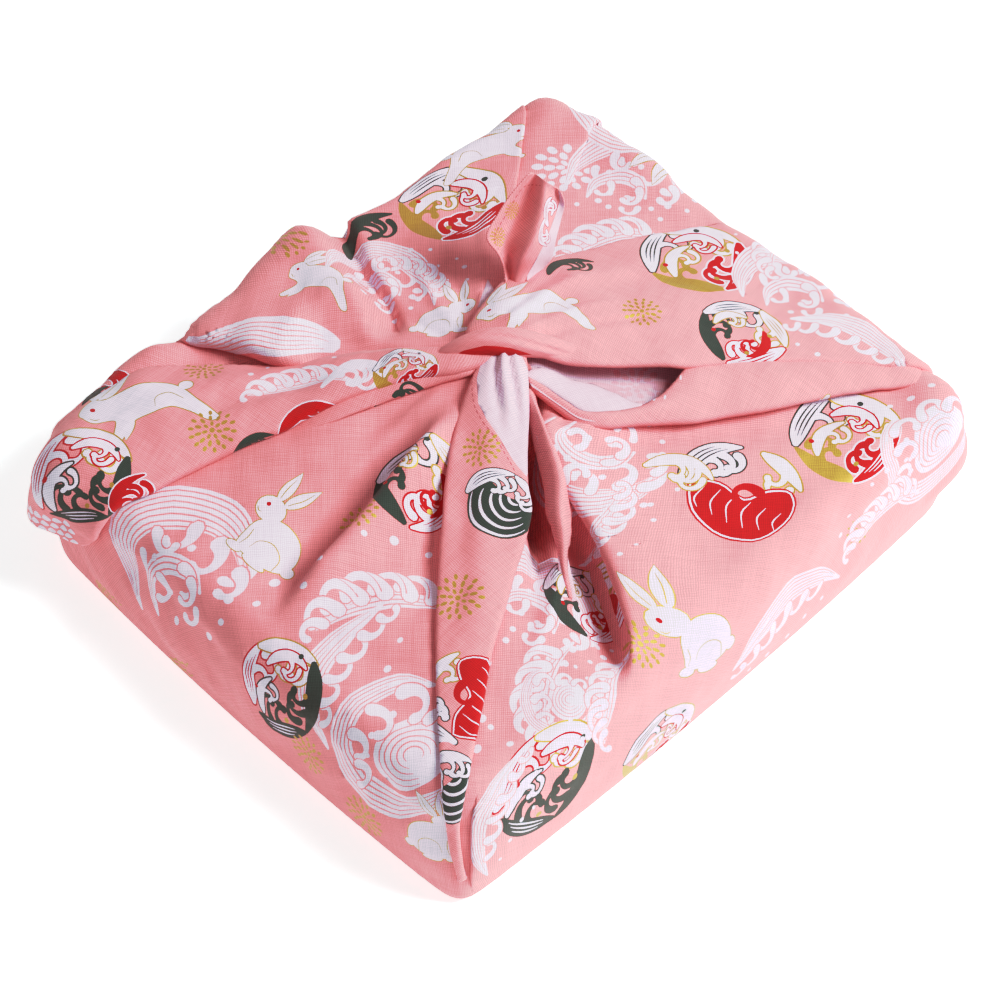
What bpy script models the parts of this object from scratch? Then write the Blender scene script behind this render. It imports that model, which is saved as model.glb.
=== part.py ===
"""A furoshiki wrap: one hemmed square of printed cotton, 50 x 50 cm, tied over a low box-shaped load.

The wrap is one piece of cloth, so it is one solid, and it is hollow: a shell of cloth with the room
of the load inside. A place on it is given in plan, in millimetres from the middle of the underside,
as if the four sides were folded out flat: past the rim, a distance outwards is a distance down the
side. The long sides face -Y and +Y, and the corner that points at (-X, -Y) is the front one.
"""

import math
from collections import namedtuple

import bmesh
import bpy
import numpy as np
from mathutils import Matrix, Vector

MM = 0.001

# Driving sizes, in millimetres.
LENGTH, WIDTH, HEIGHT = 235.0, 200.0, 50.0
CLOTH = 2.0  # the cloth with its folded-in second layer
KNOT_X, KNOT_Y = 7.0, 11.0
KNOT_RADIUS, KNOT_RISE = 12.0, 18.0
KNOT_HOLE = KNOT_RADIUS - 1  # the body is open under the knot, which closes it
TENT_POWER = 1.6  # how hollow the slope from the rim up to the knot is

CORNER_RADIUS, SIDE_BOW = 12.0, 3.5  # in plan
RIM_RADIUS, FOOT_RADIUS, SIDE_BELLY = 13.0, 5.0, 1.5  # in section

# Mesh steps.
PER_SIDE = 19
CORNER_CROWDING = 0.38  # 0 for even steps along a side, 1 for the closest near its corners
TOP_RINGS, RIM_RINGS, SIDE_RINGS, FOOT_RINGS, BOTTOM_RINGS = 10, 3, 3, 2, 2
TOP_CROWDING = 1.15  # above 1, the rings on top are closer together near the knot
BOTTOM_REACH = 0.8  # the share of the way from the foot to the middle that the last ring reaches

# The mouth that stays open below the right arm, where the load can be seen past the cloth.
MOUTH_X, MOUTH_Y, MOUTH_TURN = 47.0, -31.0, -39.0
MOUTH_LENGTH, MOUTH_WIDTH, MOUTH_CORNER = 42.0, 8.5, 3.5
MOUTH_DEPTH, MOUTH_MIDDLE = 40.0, HEIGHT + 12

# Soft folds of the body. A ridge stands up, a valley (height below 0) sinks in, and a lap is the edge
# of a fold: full height on the left of its path, falling away over its width, and a step on the right.
LAP_STEP = 2.0
FOLD_ENDS = 0.22  # the share of its length over which a fold rises and dies away
FOOT_FADE = 14.0  # folds die away over this distance above the foot
Fold = namedtuple("Fold", "name kind width height path")
FOLDS = (
    Fold("beside_strip", "soft", 8, -2.4, ((-10, 9), (-28, 6), (-49, 0), (-73, -1), (-97, -5), (-117, -12))),
    Fold("gap_of_strip", "soft", 5, -2.6, ((6, -4), (-8, -20), (-21, -38), (-33, -58))),
    Fold("rolled_pleat", "soft", 5, 2.6, ((7, -8), (-2, -19), (-11, -36), (-20, -53), (-30, -66))),
    Fold("long_crease", "soft", 7, -3.0, ((6, -22), (1, -43), (-8, -63), (-20, -81), (-34, -96))),
    Fold("back_left_roll", "soft", 12, 8.0, ((-12, 52), (-9, 70), (-8, 88), (-13, 106), (-20, 124))),
    Fold("back_left_lap", "lap", 15, 2.6, ((-10, 42), (-5, 52), (-2, 62), (0, 76), (4, 90), (12, 108))),
    Fold("back_lap", "lap", 18, 2.4, ((74, 69), (90, 84), (102, 93), (116, 108))),
    Fold("back_second_lap", "lap", 12, 1.8, ((84, 56), (99, 65), (111, 71), (126, 80))),
    Fold("left_corner_tuck", "soft", 6, -2.0, ((-100, 40), (-122, 48), (-146, 56))),
    Fold("front_corner_lap", "lap", 10, 2.0, ((-112, -100), (-126, -112), (-141, -126))),
    Fold("long_side_sag", "soft", 26, 2.0, ((-30, -122), (10, -126), (50, -122))),
)

# Bands of the same cloth that come from the knot and lie over the body. Each row is a section: the
# two edges of the band in plan, how high each edge lies over the body, and how far it crowns between.
Section = namedtuple("Section", "ax ay a_lift bx by b_lift crown")
LEFT_ARM = (
    Section(0, 27, 3.0, 3, 14, 4.0, 1.0),
    Section(-20, 48, 2.2, -16, 23, 4.5, 1.5),
    Section(-48, 80, 1.6, -43, 37, 4.5, 2.0),
    Section(-86, 103, 1.4, -74, 54, 4.5, 2.2),
    Section(-110, 116, 2.0, -100, 62, 5.0, 2.4),
    Section(-125, 123, 4.5, -120, 70, 5.5, 2.6),
    Section(-136, 126, 6.5, -134, 80, 6.0, 2.4),
    Section(-143, 128, 7.5, -147, 92, 6.5, 1.5),
)
RIGHT_ARM = (
    Section(5, 26, 3.0, 12, 8, 5.0, 2.0),
    Section(20, 31, 2.2, 22, -2, 6.0, 3.4),
    Section(42, 34, 1.4, 44, -16, 6.5, 4.0),
    Section(64, 30, 1.0, 62, -31, 6.5, 3.8),
    Section(88, 22, 0.8, 86, -50, 6.0, 3.2),
    Section(112, 12, 0.8, 106, -67, 4.5, 2.4),
    Section(132, 3, 0.7, 123, -83, 2.5, 1.2),
    Section(146, -4, 0.6, 139, -96, 0.9, 0.4),
)
FRONT_STRIP = (
    Section(4, 11, 3.0, 12, 4, 3.0, 1.0),
    Section(-16, 3, 2.6, -3, -13, 3.4, 0.8),
    Section(-38, -13, 2.4, -20, -31, 3.6, 0.8),
    Section(-62, -35, 2.4, -40, -46, 3.4, 0.6),
    Section(-86, -58, 2.4, -69, -64, 3.0, 0.4),
    Section(-106, -81, 2.4, -97, -84, 2.6, 0.2),
    Section(-126, -103, 2.2, -121, -105, 2.4, 0.1),
    Section(-140, -121, 1.6, -136, -123, 1.8, 0.0),
)
BAND_ROWS, BAND_COLUMNS = 16, 6
ROOT_DEPTH = 2.6  # a band that lies on the body is one with its cloth
NEVER_CLEAR = 99.0
CLEAR_OVER = 1.0  # the rise over which a band parts from the body
Band = namedtuple("Band", "name sections clear_from")  # past that lift a band stands clear of the body
BANDS = (
    Band("left_arm", LEFT_ARM, 3.4),
    Band("right_arm", RIGHT_ARM, 3.6),
    Band("front_strip", FRONT_STRIP, NEVER_CLEAR),
)

# The knot: a roll of cloth that crosses from the left arm to the right arm, with its radius.
KnotPoint = namedtuple("KnotPoint", "x y z radius")
KNOT = (
    KnotPoint(-22, 30, 59, 3.0),
    KnotPoint(-9, 25, 66, 5.5),
    KnotPoint(2, 19, 71, 7.5),
    KnotPoint(10, 11, 72.5, 8.0),
    KnotPoint(18, 3, 70, 7.0),
    KnotPoint(28, -2, 64, 5.0),
    KnotPoint(42, -8, 57.5, 3.0),
)

# The tail: a corner of the cloth that stands up out of the knot, as sections of three points.
TailRow = namedtuple("TailRow", "left middle right")
TAIL_ROOT = 1.2  # how deep its foot is in the body's cloth
TAIL = (
    TailRow((28, 38, None), (38, 32, None), (40, 22, None)),
    TailRow((33, 42, 70.0), (45, 36, 68.0), (47, 26, 74.0)),
    TailRow((39, 46, 78.0), (51, 40, 77.0), (53, 30, 82.0)),
    TailRow((49, 45, 88.0), (55, 41, 86.0), (57, 33, 89.0)),
    TailRow((56, 44, 96.0), (58, 41, 95.0), (60, 36, 94.0)),
)


def rim_distance(angle):
    """How far the plan outline is from the knot's axis, and the cosine between ray and outline normal."""
    dx, dy = np.cos(angle), np.sin(angle)
    dx = np.where(np.abs(dx) < 1e-9, 1e-9, dx)
    dy = np.where(np.abs(dy) < 1e-9, 1e-9, dy)
    sx, sy = np.sign(dx), np.sign(dy)
    to_x = (sx * LENGTH / 2 - KNOT_X) / dx
    to_y = (sy * WIDTH / 2 - KNOT_Y) / dy
    distance = np.minimum(to_x, to_y)
    x, y = KNOT_X + distance * dx, KNOT_Y + distance * dy
    on_short_side = to_x < to_y
    along = np.where(on_short_side, y / (WIDTH / 2), x / (LENGTH / 2))
    facing = np.where(on_short_side, np.abs(dx), np.abs(dy))
    centre_x = sx * (LENGTH / 2 - CORNER_RADIUS)
    centre_y = sy * (WIDTH / 2 - CORNER_RADIUS)
    at_corner = (sx * x > sx * centre_x) & (sy * y > sy * centre_y)
    from_x, from_y = KNOT_X - centre_x, KNOT_Y - centre_y
    half_b = from_x * dx + from_y * dy
    inside = half_b**2 - (from_x**2 + from_y**2 - CORNER_RADIUS**2)
    to_arc = -half_b + np.sqrt(np.maximum(inside, 0))
    arc_facing = ((from_x + to_arc * dx) * dx + (from_y + to_arc * dy) * dy) / CORNER_RADIUS
    distance = np.where(at_corner, to_arc, distance)
    facing = np.where(at_corner, arc_facing, facing)
    return distance + SIDE_BOW * (1 - along**2) / facing, facing


def base(x, y):
    """The plain wrapped form, without its folds: the point for each plan place with the sides folded out."""
    angle = np.arctan2(y - KNOT_Y, x - KNOT_X)
    out = np.hypot(x - KNOT_X, y - KNOT_Y)
    rim, facing = rim_distance(angle)
    rim_in, foot_in = RIM_RADIUS / facing, FOOT_RADIUS / facing
    past = out - rim
    slope = np.clip((rim - rim_in - out) / (rim - rim_in - KNOT_RADIUS), 0, 1)
    radius = out.copy()
    z = HEIGHT + KNOT_RISE * slope**TENT_POWER
    turn = np.clip((past + rim_in) / (2 * rim_in), 0, 0.5) + np.clip(past / (2 * RIM_RADIUS), 0, 0.5)
    turn *= math.pi / 2
    over_rim = past > -rim_in
    radius = np.where(over_rim, rim - rim_in + rim_in * np.sin(turn), radius)
    z = np.where(over_rim, HEIGHT - RIM_RADIUS + RIM_RADIUS * np.cos(turn), z)
    on_side = past > RIM_RADIUS
    up = np.clip((HEIGHT - past - FOOT_RADIUS) / (HEIGHT - RIM_RADIUS - FOOT_RADIUS), 0, 1)
    radius = np.where(on_side, rim + SIDE_BELLY * np.sin(math.pi * up) / facing, radius)
    z = np.where(on_side, HEIGHT - past, z)
    turn = np.clip((past - HEIGHT + FOOT_RADIUS) / (2 * FOOT_RADIUS), 0, 1) * math.pi / 2
    at_foot = past > HEIGHT - FOOT_RADIUS
    radius = np.where(at_foot, rim - foot_in + foot_in * np.cos(turn), radius)
    z = np.where(at_foot, FOOT_RADIUS - FOOT_RADIUS * np.sin(turn), z)
    below = past > HEIGHT + FOOT_RADIUS
    inwards = np.maximum(rim - foot_in - (past - HEIGHT - FOOT_RADIUS), 0)
    radius = np.where(below, inwards, radius)
    z = np.where(below, 0, z)
    return np.stack([KNOT_X + radius * np.cos(angle), KNOT_Y + radius * np.sin(angle), z], axis=-1)


def normals(x, y, step=0.5):
    """Unit vectors out of the plain form at the same places."""
    across = base(x + step, y) - base(x - step, y)
    along = base(x, y + step) - base(x, y - step)
    found = np.cross(across, along)
    return found / np.maximum(np.linalg.norm(found, axis=-1, keepdims=True), 1e-9)


def smooth(value):
    value = np.clip(value, 0, 1)
    return value * value * (3 - 2 * value)


def smooth_path(points, steps=6):
    """Points along a curve through the given ones (Catmull-Rom)."""
    points = np.array(points, float)
    padded = np.vstack([2 * points[0] - points[1], points, 2 * points[-1] - points[-2]])
    found = []
    for p0, p1, p2, p3 in zip(padded, padded[1:], padded[2:], padded[3:]):
        for t in np.arange(steps) / steps:
            found.append(0.5 * (2 * p1 + (p2 - p0) * t + (2 * p0 - 5 * p1 + 4 * p2 - p3) * t**2
                                + (3 * p1 - p0 - 3 * p2 + p3) * t**3))
    return np.array(found + [points[-1]])


def beside_path(path, x, y):
    """For each place, the share of the path passed at its nearest point, and the distance, left positive."""
    best = np.full(x.shape, np.inf)
    share, side = np.zeros(x.shape), np.zeros(x.shape)
    lengths = np.linalg.norm(np.diff(path, axis=0), axis=1)
    passed, total = 0.0, lengths.sum()
    for start, end, length in zip(path, path[1:], lengths):
        ux, uy = (end - start) / length
        along = np.clip((x - start[0]) * ux + (y - start[1]) * uy, 0, length)
        gap_x, gap_y = x - start[0] - along * ux, y - start[1] - along * uy
        gap = np.hypot(gap_x, gap_y)
        nearer = gap < best
        best = np.where(nearer, gap, best)
        share = np.where(nearer, (passed + along) / total, share)
        side = np.where(nearer, np.where(ux * gap_y - uy * gap_x >= 0, gap, -gap), side)
        passed += length
    return share, side


def fold_height(x, y):
    """How far the body's folds stand out of its plain form."""
    rim, _ = rim_distance(np.arctan2(y - KNOT_Y, x - KNOT_X))
    out = np.hypot(x - KNOT_X, y - KNOT_Y)
    clear_of_foot = smooth((rim + HEIGHT - FOOT_RADIUS - out) / FOOT_FADE)
    height = np.zeros(x.shape)
    for fold in FOLDS:
        share, side = beside_path(smooth_path(fold.path), x, y)
        ends = smooth(share / FOLD_ENDS) * smooth((1 - share) / FOLD_ENDS)
        width = np.full(x.shape, float(fold.width))
        if fold.kind == "lap":
            width = np.where(side > 0, width, LAP_STEP)
        height += fold.height * ends * np.exp(-((side / width) ** 2))
    return height * clear_of_foot


def cloth(x, y, lift=0.0):
    """Points of the cloth at plan places with the sides folded out, lifted off the body by lift."""
    x, y = np.asarray(x, float), np.asarray(y, float)
    rise = fold_height(x, y) + lift
    return base(x, y) + normals(x, y) * rise[..., None]


def outline_angles():
    """Directions from the knot's axis to places round the outline, closer together near the corners."""
    steps = np.linspace(-1, 1, PER_SIDE, endpoint=False)
    along = (1 - CORNER_CROWDING) * steps + CORNER_CROWDING * np.sin(steps * math.pi / 2)
    half_l, half_w = LENGTH / 2, WIDTH / 2
    flat = np.ones(PER_SIDE)
    x = np.concatenate([half_l * flat, -half_l * along, -half_l * flat, half_l * along])
    y = np.concatenate([half_w * along, half_w * flat, -half_w * along, -half_w * flat])
    return np.arctan2(y - KNOT_Y, x - KNOT_X)


def grid_faces(rows, columns, closed):
    """Quads between neighbouring rows of a grid of vertices, round the back too if it is closed."""
    faces = []
    for i in range(rows - 1):
        for j in range(columns if closed else columns - 1):
            k = (j + 1) % columns
            faces.append((i * columns + j, (i + 1) * columns + j, (i + 1) * columns + k, i * columns + k))
    return faces


def add_mesh(name, points, faces, collection):
    mesh = bpy.data.meshes.new(name)
    mesh.from_pydata([tuple(float(v) * MM for v in point) for point in points], [], faces)
    mesh.validate()
    obj = bpy.data.objects.new(name, mesh)
    collection.objects.link(obj)
    return obj


def face_outwards(obj):
    shape = bmesh.new()
    shape.from_mesh(obj.data)
    bmesh.ops.remove_doubles(shape, verts=shape.verts, dist=0.00001)
    bmesh.ops.recalc_face_normals(shape, faces=shape.faces)
    if shape.calc_volume(signed=True) < 0:
        bmesh.ops.reverse_faces(shape, faces=shape.faces)
    shape.to_mesh(obj.data)
    shape.free()


def body_surface(collection):
    """The body: a loft of rings round the knot's axis, open under the knot and closed below."""
    angles = outline_angles()
    rim, facing = rim_distance(angles)
    rim_in = RIM_RADIUS / facing
    rings = []
    for i in range(TOP_RINGS + 1):
        share = (i / TOP_RINGS) ** TOP_CROWDING
        rings.append(KNOT_HOLE + (rim - rim_in - KNOT_HOLE) * share)
    for i in range(1, RIM_RINGS + 1):
        share = 2 * i / RIM_RINGS
        rings.append(rim - rim_in + rim_in * min(share, 1) + RIM_RADIUS * max(share - 1, 0))
    side = HEIGHT - FOOT_RADIUS - RIM_RADIUS
    for i in range(1, SIDE_RINGS + 1):
        rings.append(rim + RIM_RADIUS + side * i / SIDE_RINGS)
    for i in range(1, FOOT_RINGS + 1):
        rings.append(rim + HEIGHT - FOOT_RADIUS + 2 * FOOT_RADIUS * i / FOOT_RINGS)
    for i in range(1, BOTTOM_RINGS + 1):
        rings.append(rim + HEIGHT + FOOT_RADIUS + (rim - FOOT_RADIUS) * BOTTOM_REACH * i / BOTTOM_RINGS)
    points = []
    for ring in rings:
        points.extend(cloth(KNOT_X + ring * np.cos(angles), KNOT_Y + ring * np.sin(angles)))
    columns = len(angles)
    faces = grid_faces(len(rings), columns, closed=True)
    last = (len(rings) - 1) * columns
    faces += [(last + j, len(points), last + (j + 1) % columns) for j in range(columns)]
    points.append((KNOT_X, KNOT_Y, 0.0))
    obj = add_mesh("furoshiki_wrap", points, faces, collection)
    shape = bmesh.new()
    shape.from_mesh(obj.data)
    bmesh.ops.recalc_face_normals(shape, faces=shape.faces)
    shape.faces.ensure_lookup_table()
    if min(shape.faces, key=lambda face: face.calc_center_median().z).normal.z > 0:
        bmesh.ops.reverse_faces(shape, faces=shape.faces)
    shape.to_mesh(obj.data)
    shape.free()
    return obj


def slab(name, upper, lower, collection):
    """A closed sheet between two grids of points."""
    rows, cols = upper.shape[:2]
    count = rows * cols
    points = np.concatenate([upper.reshape(-1, 3), lower.reshape(-1, 3)])
    faces = grid_faces(rows, cols, closed=False)
    faces += [tuple(count + v for v in reversed(face)) for face in faces]
    border = list(range(cols))
    border += [i * cols + cols - 1 for i in range(1, rows)]
    border += [(rows - 1) * cols + j for j in range(cols - 2, -1, -1)]
    border += [i * cols for i in range(rows - 2, 0, -1)]
    for a, b in zip(border, border[1:] + border[:1]):
        faces.append((a, b, count + b, count + a))
    obj = add_mesh(name, points, faces, collection)
    face_outwards(obj)
    return obj


def band(name, sections, clear_from, collection):
    """A band of cloth over the body, with its foot in the body's cloth where it lies close to it."""
    table = smooth_path([tuple(row) for row in sections])
    shares = np.linspace(0, 1, len(table))
    wanted = np.linspace(0, 1, BAND_ROWS)
    columns = [np.interp(wanted, shares, table[:, k]) for k in range(table.shape[1])]
    row = Section(*[column[:, None] for column in columns])
    w = np.linspace(0, 1, BAND_COLUMNS + 1)[None, :]
    x = row.ax * (1 - w) + row.bx * w
    y = row.ay * (1 - w) + row.by * w
    lift = row.a_lift * (1 - w) + row.b_lift * w + row.crown * np.sin(math.pi * w)
    stands_clear = smooth((lift - clear_from) / CLEAR_OVER)
    under = -ROOT_DEPTH + stands_clear * (lift - CLOTH + ROOT_DEPTH)
    return slab(name, cloth(x, y, lift), cloth(x, y, under), collection)


def knot_roll(collection):
    """The roll of cloth across the knot, as a round curve that swells over the middle."""
    curve = bpy.data.curves.new("knot_curve", "CURVE")
    curve.dimensions = "3D"
    curve.bevel_depth = MM
    curve.bevel_resolution = 3
    curve.resolution_u = 4
    curve.use_fill_caps = True
    spline = curve.splines.new("BEZIER")
    spline.bezier_points.add(len(KNOT) - 1)
    for point, row in zip(spline.bezier_points, KNOT):
        point.co = (row.x * MM, row.y * MM, row.z * MM)
        point.radius = row.radius
        point.handle_left_type = point.handle_right_type = "AUTO"
    guide = bpy.data.objects.new("knot_curve", curve)
    collection.objects.link(guide)
    bpy.context.view_layer.update()
    mesh = bpy.data.meshes.new_from_object(guide.evaluated_get(bpy.context.evaluated_depsgraph_get()))
    obj = bpy.data.objects.new("knot_roll", mesh)
    obj.matrix_world = guide.matrix_world
    collection.objects.link(obj)
    bpy.data.objects.remove(guide)
    face_outwards(obj)
    return obj


def tail(collection):
    """The corner of cloth that stands out of the knot, folded along its middle."""
    rows = []
    for section in TAIL:
        row = []
        for x, y, z in (section.left, section.middle, section.right):
            if z is None:
                z = cloth([x], [y])[0][2] - TAIL_ROOT
            row.append((x, y, z))
        rows.append(row)
    grid = smooth_path([sum(row, ()) for row in rows], steps=3).reshape(-1, 3, 3)
    facing = np.cross(np.gradient(grid, axis=0), np.gradient(grid, axis=1))
    facing *= CLOTH / 2 / np.linalg.norm(facing, axis=-1, keepdims=True)
    return slab("tail", grid + facing, grid - facing, collection)


def mouth_cutter(collection):
    """The upright slot through the top of the body, below the edge of the right arm."""
    shape = bmesh.new()
    bmesh.ops.create_cube(shape, size=1.0)
    size = Matrix.Diagonal(Vector((MOUTH_LENGTH, MOUTH_WIDTH, MOUTH_DEPTH, 1)) * MM).to_4x4()
    size[3][3] = 1
    bmesh.ops.transform(shape, matrix=size, verts=shape.verts)
    upright = [edge for edge in shape.edges if abs(edge.verts[0].co.z - edge.verts[1].co.z) > 0.01]
    bmesh.ops.bevel(shape, geom=upright, offset=MOUTH_CORNER * MM, segments=3, affect="EDGES")
    mesh = bpy.data.meshes.new("mouth_cutter")
    shape.to_mesh(mesh)
    shape.free()
    obj = bpy.data.objects.new("mouth_cutter", mesh)
    obj.location = (MOUTH_X * MM, MOUTH_Y * MM, MOUTH_MIDDLE * MM)
    obj.rotation_euler = (0, 0, math.radians(MOUTH_TURN))
    collection.objects.link(obj)
    return obj


def cotton():
    material = bpy.data.materials.new("printed_cotton")
    material.use_nodes = True
    shader = material.node_tree.nodes["Principled BSDF"]
    shader.inputs["Base Color"].default_value = (0.84, 0.36, 0.33, 1)
    shader.inputs["Roughness"].default_value = 0.85
    shader.inputs["Metallic"].default_value = 0.0
    return material


def helper(obj):
    obj.hide_render = True
    obj.display_type = "WIRE"


def main():
    for obj in list(bpy.data.objects):
        bpy.data.objects.remove(obj)
    parts = bpy.data.collections.new("furoshiki_wrap")
    helpers = bpy.data.collections.new("helpers")
    bpy.context.scene.collection.children.link(parts)
    bpy.context.scene.collection.children.link(helpers)

    wrap = body_surface(parts)
    wrap.data.materials.append(cotton())
    thicken = wrap.modifiers.new("thickness", "SOLIDIFY")
    thicken.thickness = CLOTH * MM
    thicken.offset = -1

    joined = [band(row.name, row.sections, row.clear_from, helpers) for row in BANDS]
    joined += [knot_roll(helpers), tail(helpers)]
    cutter = mouth_cutter(helpers)
    for obj in joined + [cutter]:
        helper(obj)
        step = wrap.modifiers.new(obj.name, "BOOLEAN")
        step.operation = "DIFFERENCE" if obj is cutter else "UNION"
        step.object = obj
    wrap.data.shade_smooth()


main()
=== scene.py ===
"""Looks of the furoshiki wrap: a printed cotton square tied over a low box-shaped load.

A place on the body is given in plan, in millimetres from the middle of the underside, as if the four
sides were folded out flat: past the rim, a distance outwards is a distance down the side. Bands, knot
and tail have a plan of their own: millimetres along the piece and across it. The print is drawn in
those plans as outlines, and each piece is one triangulation of its outline, its grid and its print.
"""
import math
from collections import namedtuple

import bpy
import numpy as np
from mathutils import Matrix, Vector
from mathutils.geometry import delaunay_2d_cdt


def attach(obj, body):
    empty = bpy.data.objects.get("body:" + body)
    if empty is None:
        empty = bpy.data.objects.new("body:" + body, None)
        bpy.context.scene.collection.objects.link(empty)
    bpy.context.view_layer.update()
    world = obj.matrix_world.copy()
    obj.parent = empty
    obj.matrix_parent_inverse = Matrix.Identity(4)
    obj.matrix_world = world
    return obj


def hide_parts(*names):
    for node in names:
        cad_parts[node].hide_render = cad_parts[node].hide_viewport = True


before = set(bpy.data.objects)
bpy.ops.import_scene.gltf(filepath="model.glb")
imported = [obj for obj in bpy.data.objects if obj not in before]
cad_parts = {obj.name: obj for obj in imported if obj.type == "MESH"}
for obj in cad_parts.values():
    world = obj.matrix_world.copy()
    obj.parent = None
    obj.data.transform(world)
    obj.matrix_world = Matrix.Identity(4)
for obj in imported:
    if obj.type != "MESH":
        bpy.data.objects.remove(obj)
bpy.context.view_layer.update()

MM = 0.001

# ---------------------------------------------------------------- the plain form, as in the CAD
LENGTH, WIDTH, HEIGHT = 235.0, 200.0, 50.0
KNOT_X, KNOT_Y = 7.0, 11.0
KNOT_RADIUS, KNOT_RISE = 12.0, 18.0
TENT_POWER = 1.6
CORNER_RADIUS, SIDE_BOW = 12.0, 3.5
FRONT_RIM, BACK_RIM, RIM_CHANGE = 13.0, 5.0, 0.9  # the cloth lies tighter over the two far edges
FOOT_RADIUS, SIDE_BELLY, FOOT_FLARE = 5.0, 1.5, 2.3
FRONT_CORNER = math.atan2(-WIDTH / 2 - KNOT_Y, -LENGTH / 2 - KNOT_X)
FRONT_POINT, FRONT_POINT_WIDTH = 3.0, 0.045  # the cloth is drawn to a point at the foot of the front corner
BACK = math.radians(45)


def sharp_rim(angle):
    """How far the plan outline is from the knot's axis, and the cosine between ray and outline normal."""
    dx, dy = np.cos(angle), np.sin(angle)
    dx = np.where(np.abs(dx) < 1e-9, 1e-9, dx)
    dy = np.where(np.abs(dy) < 1e-9, 1e-9, dy)
    sx, sy = np.sign(dx), np.sign(dy)
    to_x = (sx * LENGTH / 2 - KNOT_X) / dx
    to_y = (sy * WIDTH / 2 - KNOT_Y) / dy
    distance = np.minimum(to_x, to_y)
    x, y = KNOT_X + distance * dx, KNOT_Y + distance * dy
    on_short_side = to_x < to_y
    along = np.where(on_short_side, y / (WIDTH / 2), x / (LENGTH / 2))
    facing = np.where(on_short_side, np.abs(dx), np.abs(dy))
    centre_x = sx * (LENGTH / 2 - CORNER_RADIUS)
    centre_y = sy * (WIDTH / 2 - CORNER_RADIUS)
    at_corner = (sx * x > sx * centre_x) & (sy * y > sy * centre_y)
    from_x, from_y = KNOT_X - centre_x, KNOT_Y - centre_y
    half_b = from_x * dx + from_y * dy
    inside = half_b**2 - (from_x**2 + from_y**2 - CORNER_RADIUS**2)
    to_arc = -half_b + np.sqrt(np.maximum(inside, 0))
    arc_facing = ((from_x + to_arc * dx) * dx + (from_y + to_arc * dy) * dy) / CORNER_RADIUS
    distance = np.where(at_corner, to_arc, distance)
    facing = np.where(at_corner, arc_facing, facing)
    return distance + SIDE_BOW * (1 - along**2) / facing, facing


RIM_ANGLES = np.linspace(-math.pi, math.pi, 1441)[:-1]
SOFTENED = 2.4  # degrees to each side
RIM = np.mean([sharp_rim(RIM_ANGLES + math.radians(turn)) for turn in np.linspace(-SOFTENED, SOFTENED, 13)], axis=0)


def rim_distance(angle):
    """The same, a little softened at the corners."""
    return [np.interp(angle, RIM_ANGLES, values, period=2 * math.pi) for values in RIM]


def base(x, y):
    """The plain wrapped form, without its folds: the point for each plan place with the sides folded out."""
    angle = np.arctan2(y - KNOT_Y, x - KNOT_X)
    rim_radius = FRONT_RIM + (BACK_RIM - FRONT_RIM) * smooth(0.5 + np.cos(angle - BACK) / RIM_CHANGE)
    out = np.hypot(x - KNOT_X, y - KNOT_Y)
    rim, facing = rim_distance(angle)
    rim_in, foot_in = rim_radius / facing, FOOT_RADIUS / facing
    past = out - rim
    slope = np.clip((rim - rim_in - out) / (rim - rim_in - KNOT_RADIUS), 0, 1)
    z = HEIGHT + KNOT_RISE * slope**TENT_POWER
    turn = np.clip((past + rim_in) / (2 * rim_in), 0, 0.5) + np.clip(past / (2 * rim_radius), 0, 0.5)
    turn *= math.pi / 2
    over_rim = past > -rim_in
    radius = np.where(over_rim, rim - rim_in + rim_in * np.sin(turn), out)
    z = np.where(over_rim, HEIGHT - rim_radius + rim_radius * np.cos(turn), z)
    on_side = past > rim_radius
    up = np.clip((HEIGHT - past - FOOT_RADIUS) / (HEIGHT - rim_radius - FOOT_RADIUS), 0, 1)
    flare = FOOT_FLARE + FRONT_POINT * np.exp(-(((angle - FRONT_CORNER) / FRONT_POINT_WIDTH) ** 2))
    rim = rim + flare * (1 - up) / facing
    radius = np.where(on_side, rim + SIDE_BELLY * np.sin(math.pi * up) / facing, radius)
    z = np.where(on_side, HEIGHT - past, z)
    turn = np.clip((past - HEIGHT + FOOT_RADIUS) / (2 * FOOT_RADIUS), 0, 1) * math.pi / 2
    at_foot = past > HEIGHT - FOOT_RADIUS
    radius = np.where(at_foot, rim - foot_in + foot_in * np.cos(turn), radius)
    z = np.where(at_foot, FOOT_RADIUS - FOOT_RADIUS * np.sin(turn), z)
    below = past > HEIGHT + FOOT_RADIUS
    inwards = np.maximum(rim - foot_in - (past - HEIGHT - FOOT_RADIUS), 0)
    radius = np.where(below, inwards, radius)
    z = np.where(below, 0, z)
    return columns(KNOT_X + radius * np.cos(angle), KNOT_Y + radius * np.sin(angle), z)


def normals(x, y, step=0.5):
    """Unit vectors out of the plain form at the same places."""
    across = base(x + step, y) - base(x - step, y)
    along = base(x, y + step) - base(x, y - step)
    return unit(np.cross(across, along))


def columns(*values):
    """An array of places from an array for each coordinate."""
    return np.stack(values, axis=-1)


def unit(vectors):
    return vectors / np.maximum(np.linalg.norm(vectors, axis=-1, keepdims=True), 1e-9)


def directions(path):
    """Unit vectors along a flat path, and to its left."""
    along = unit(np.gradient(path, axis=0))
    return along, columns(-along[:, 1], along[:, 0])


def distances(path):
    """How far along a path its points are."""
    return np.concatenate([[0], np.cumsum(np.linalg.norm(np.diff(path, axis=0), axis=1))])


def smooth(value):
    value = np.clip(value, 0, 1)
    return value * value * (3 - 2 * value)


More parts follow.
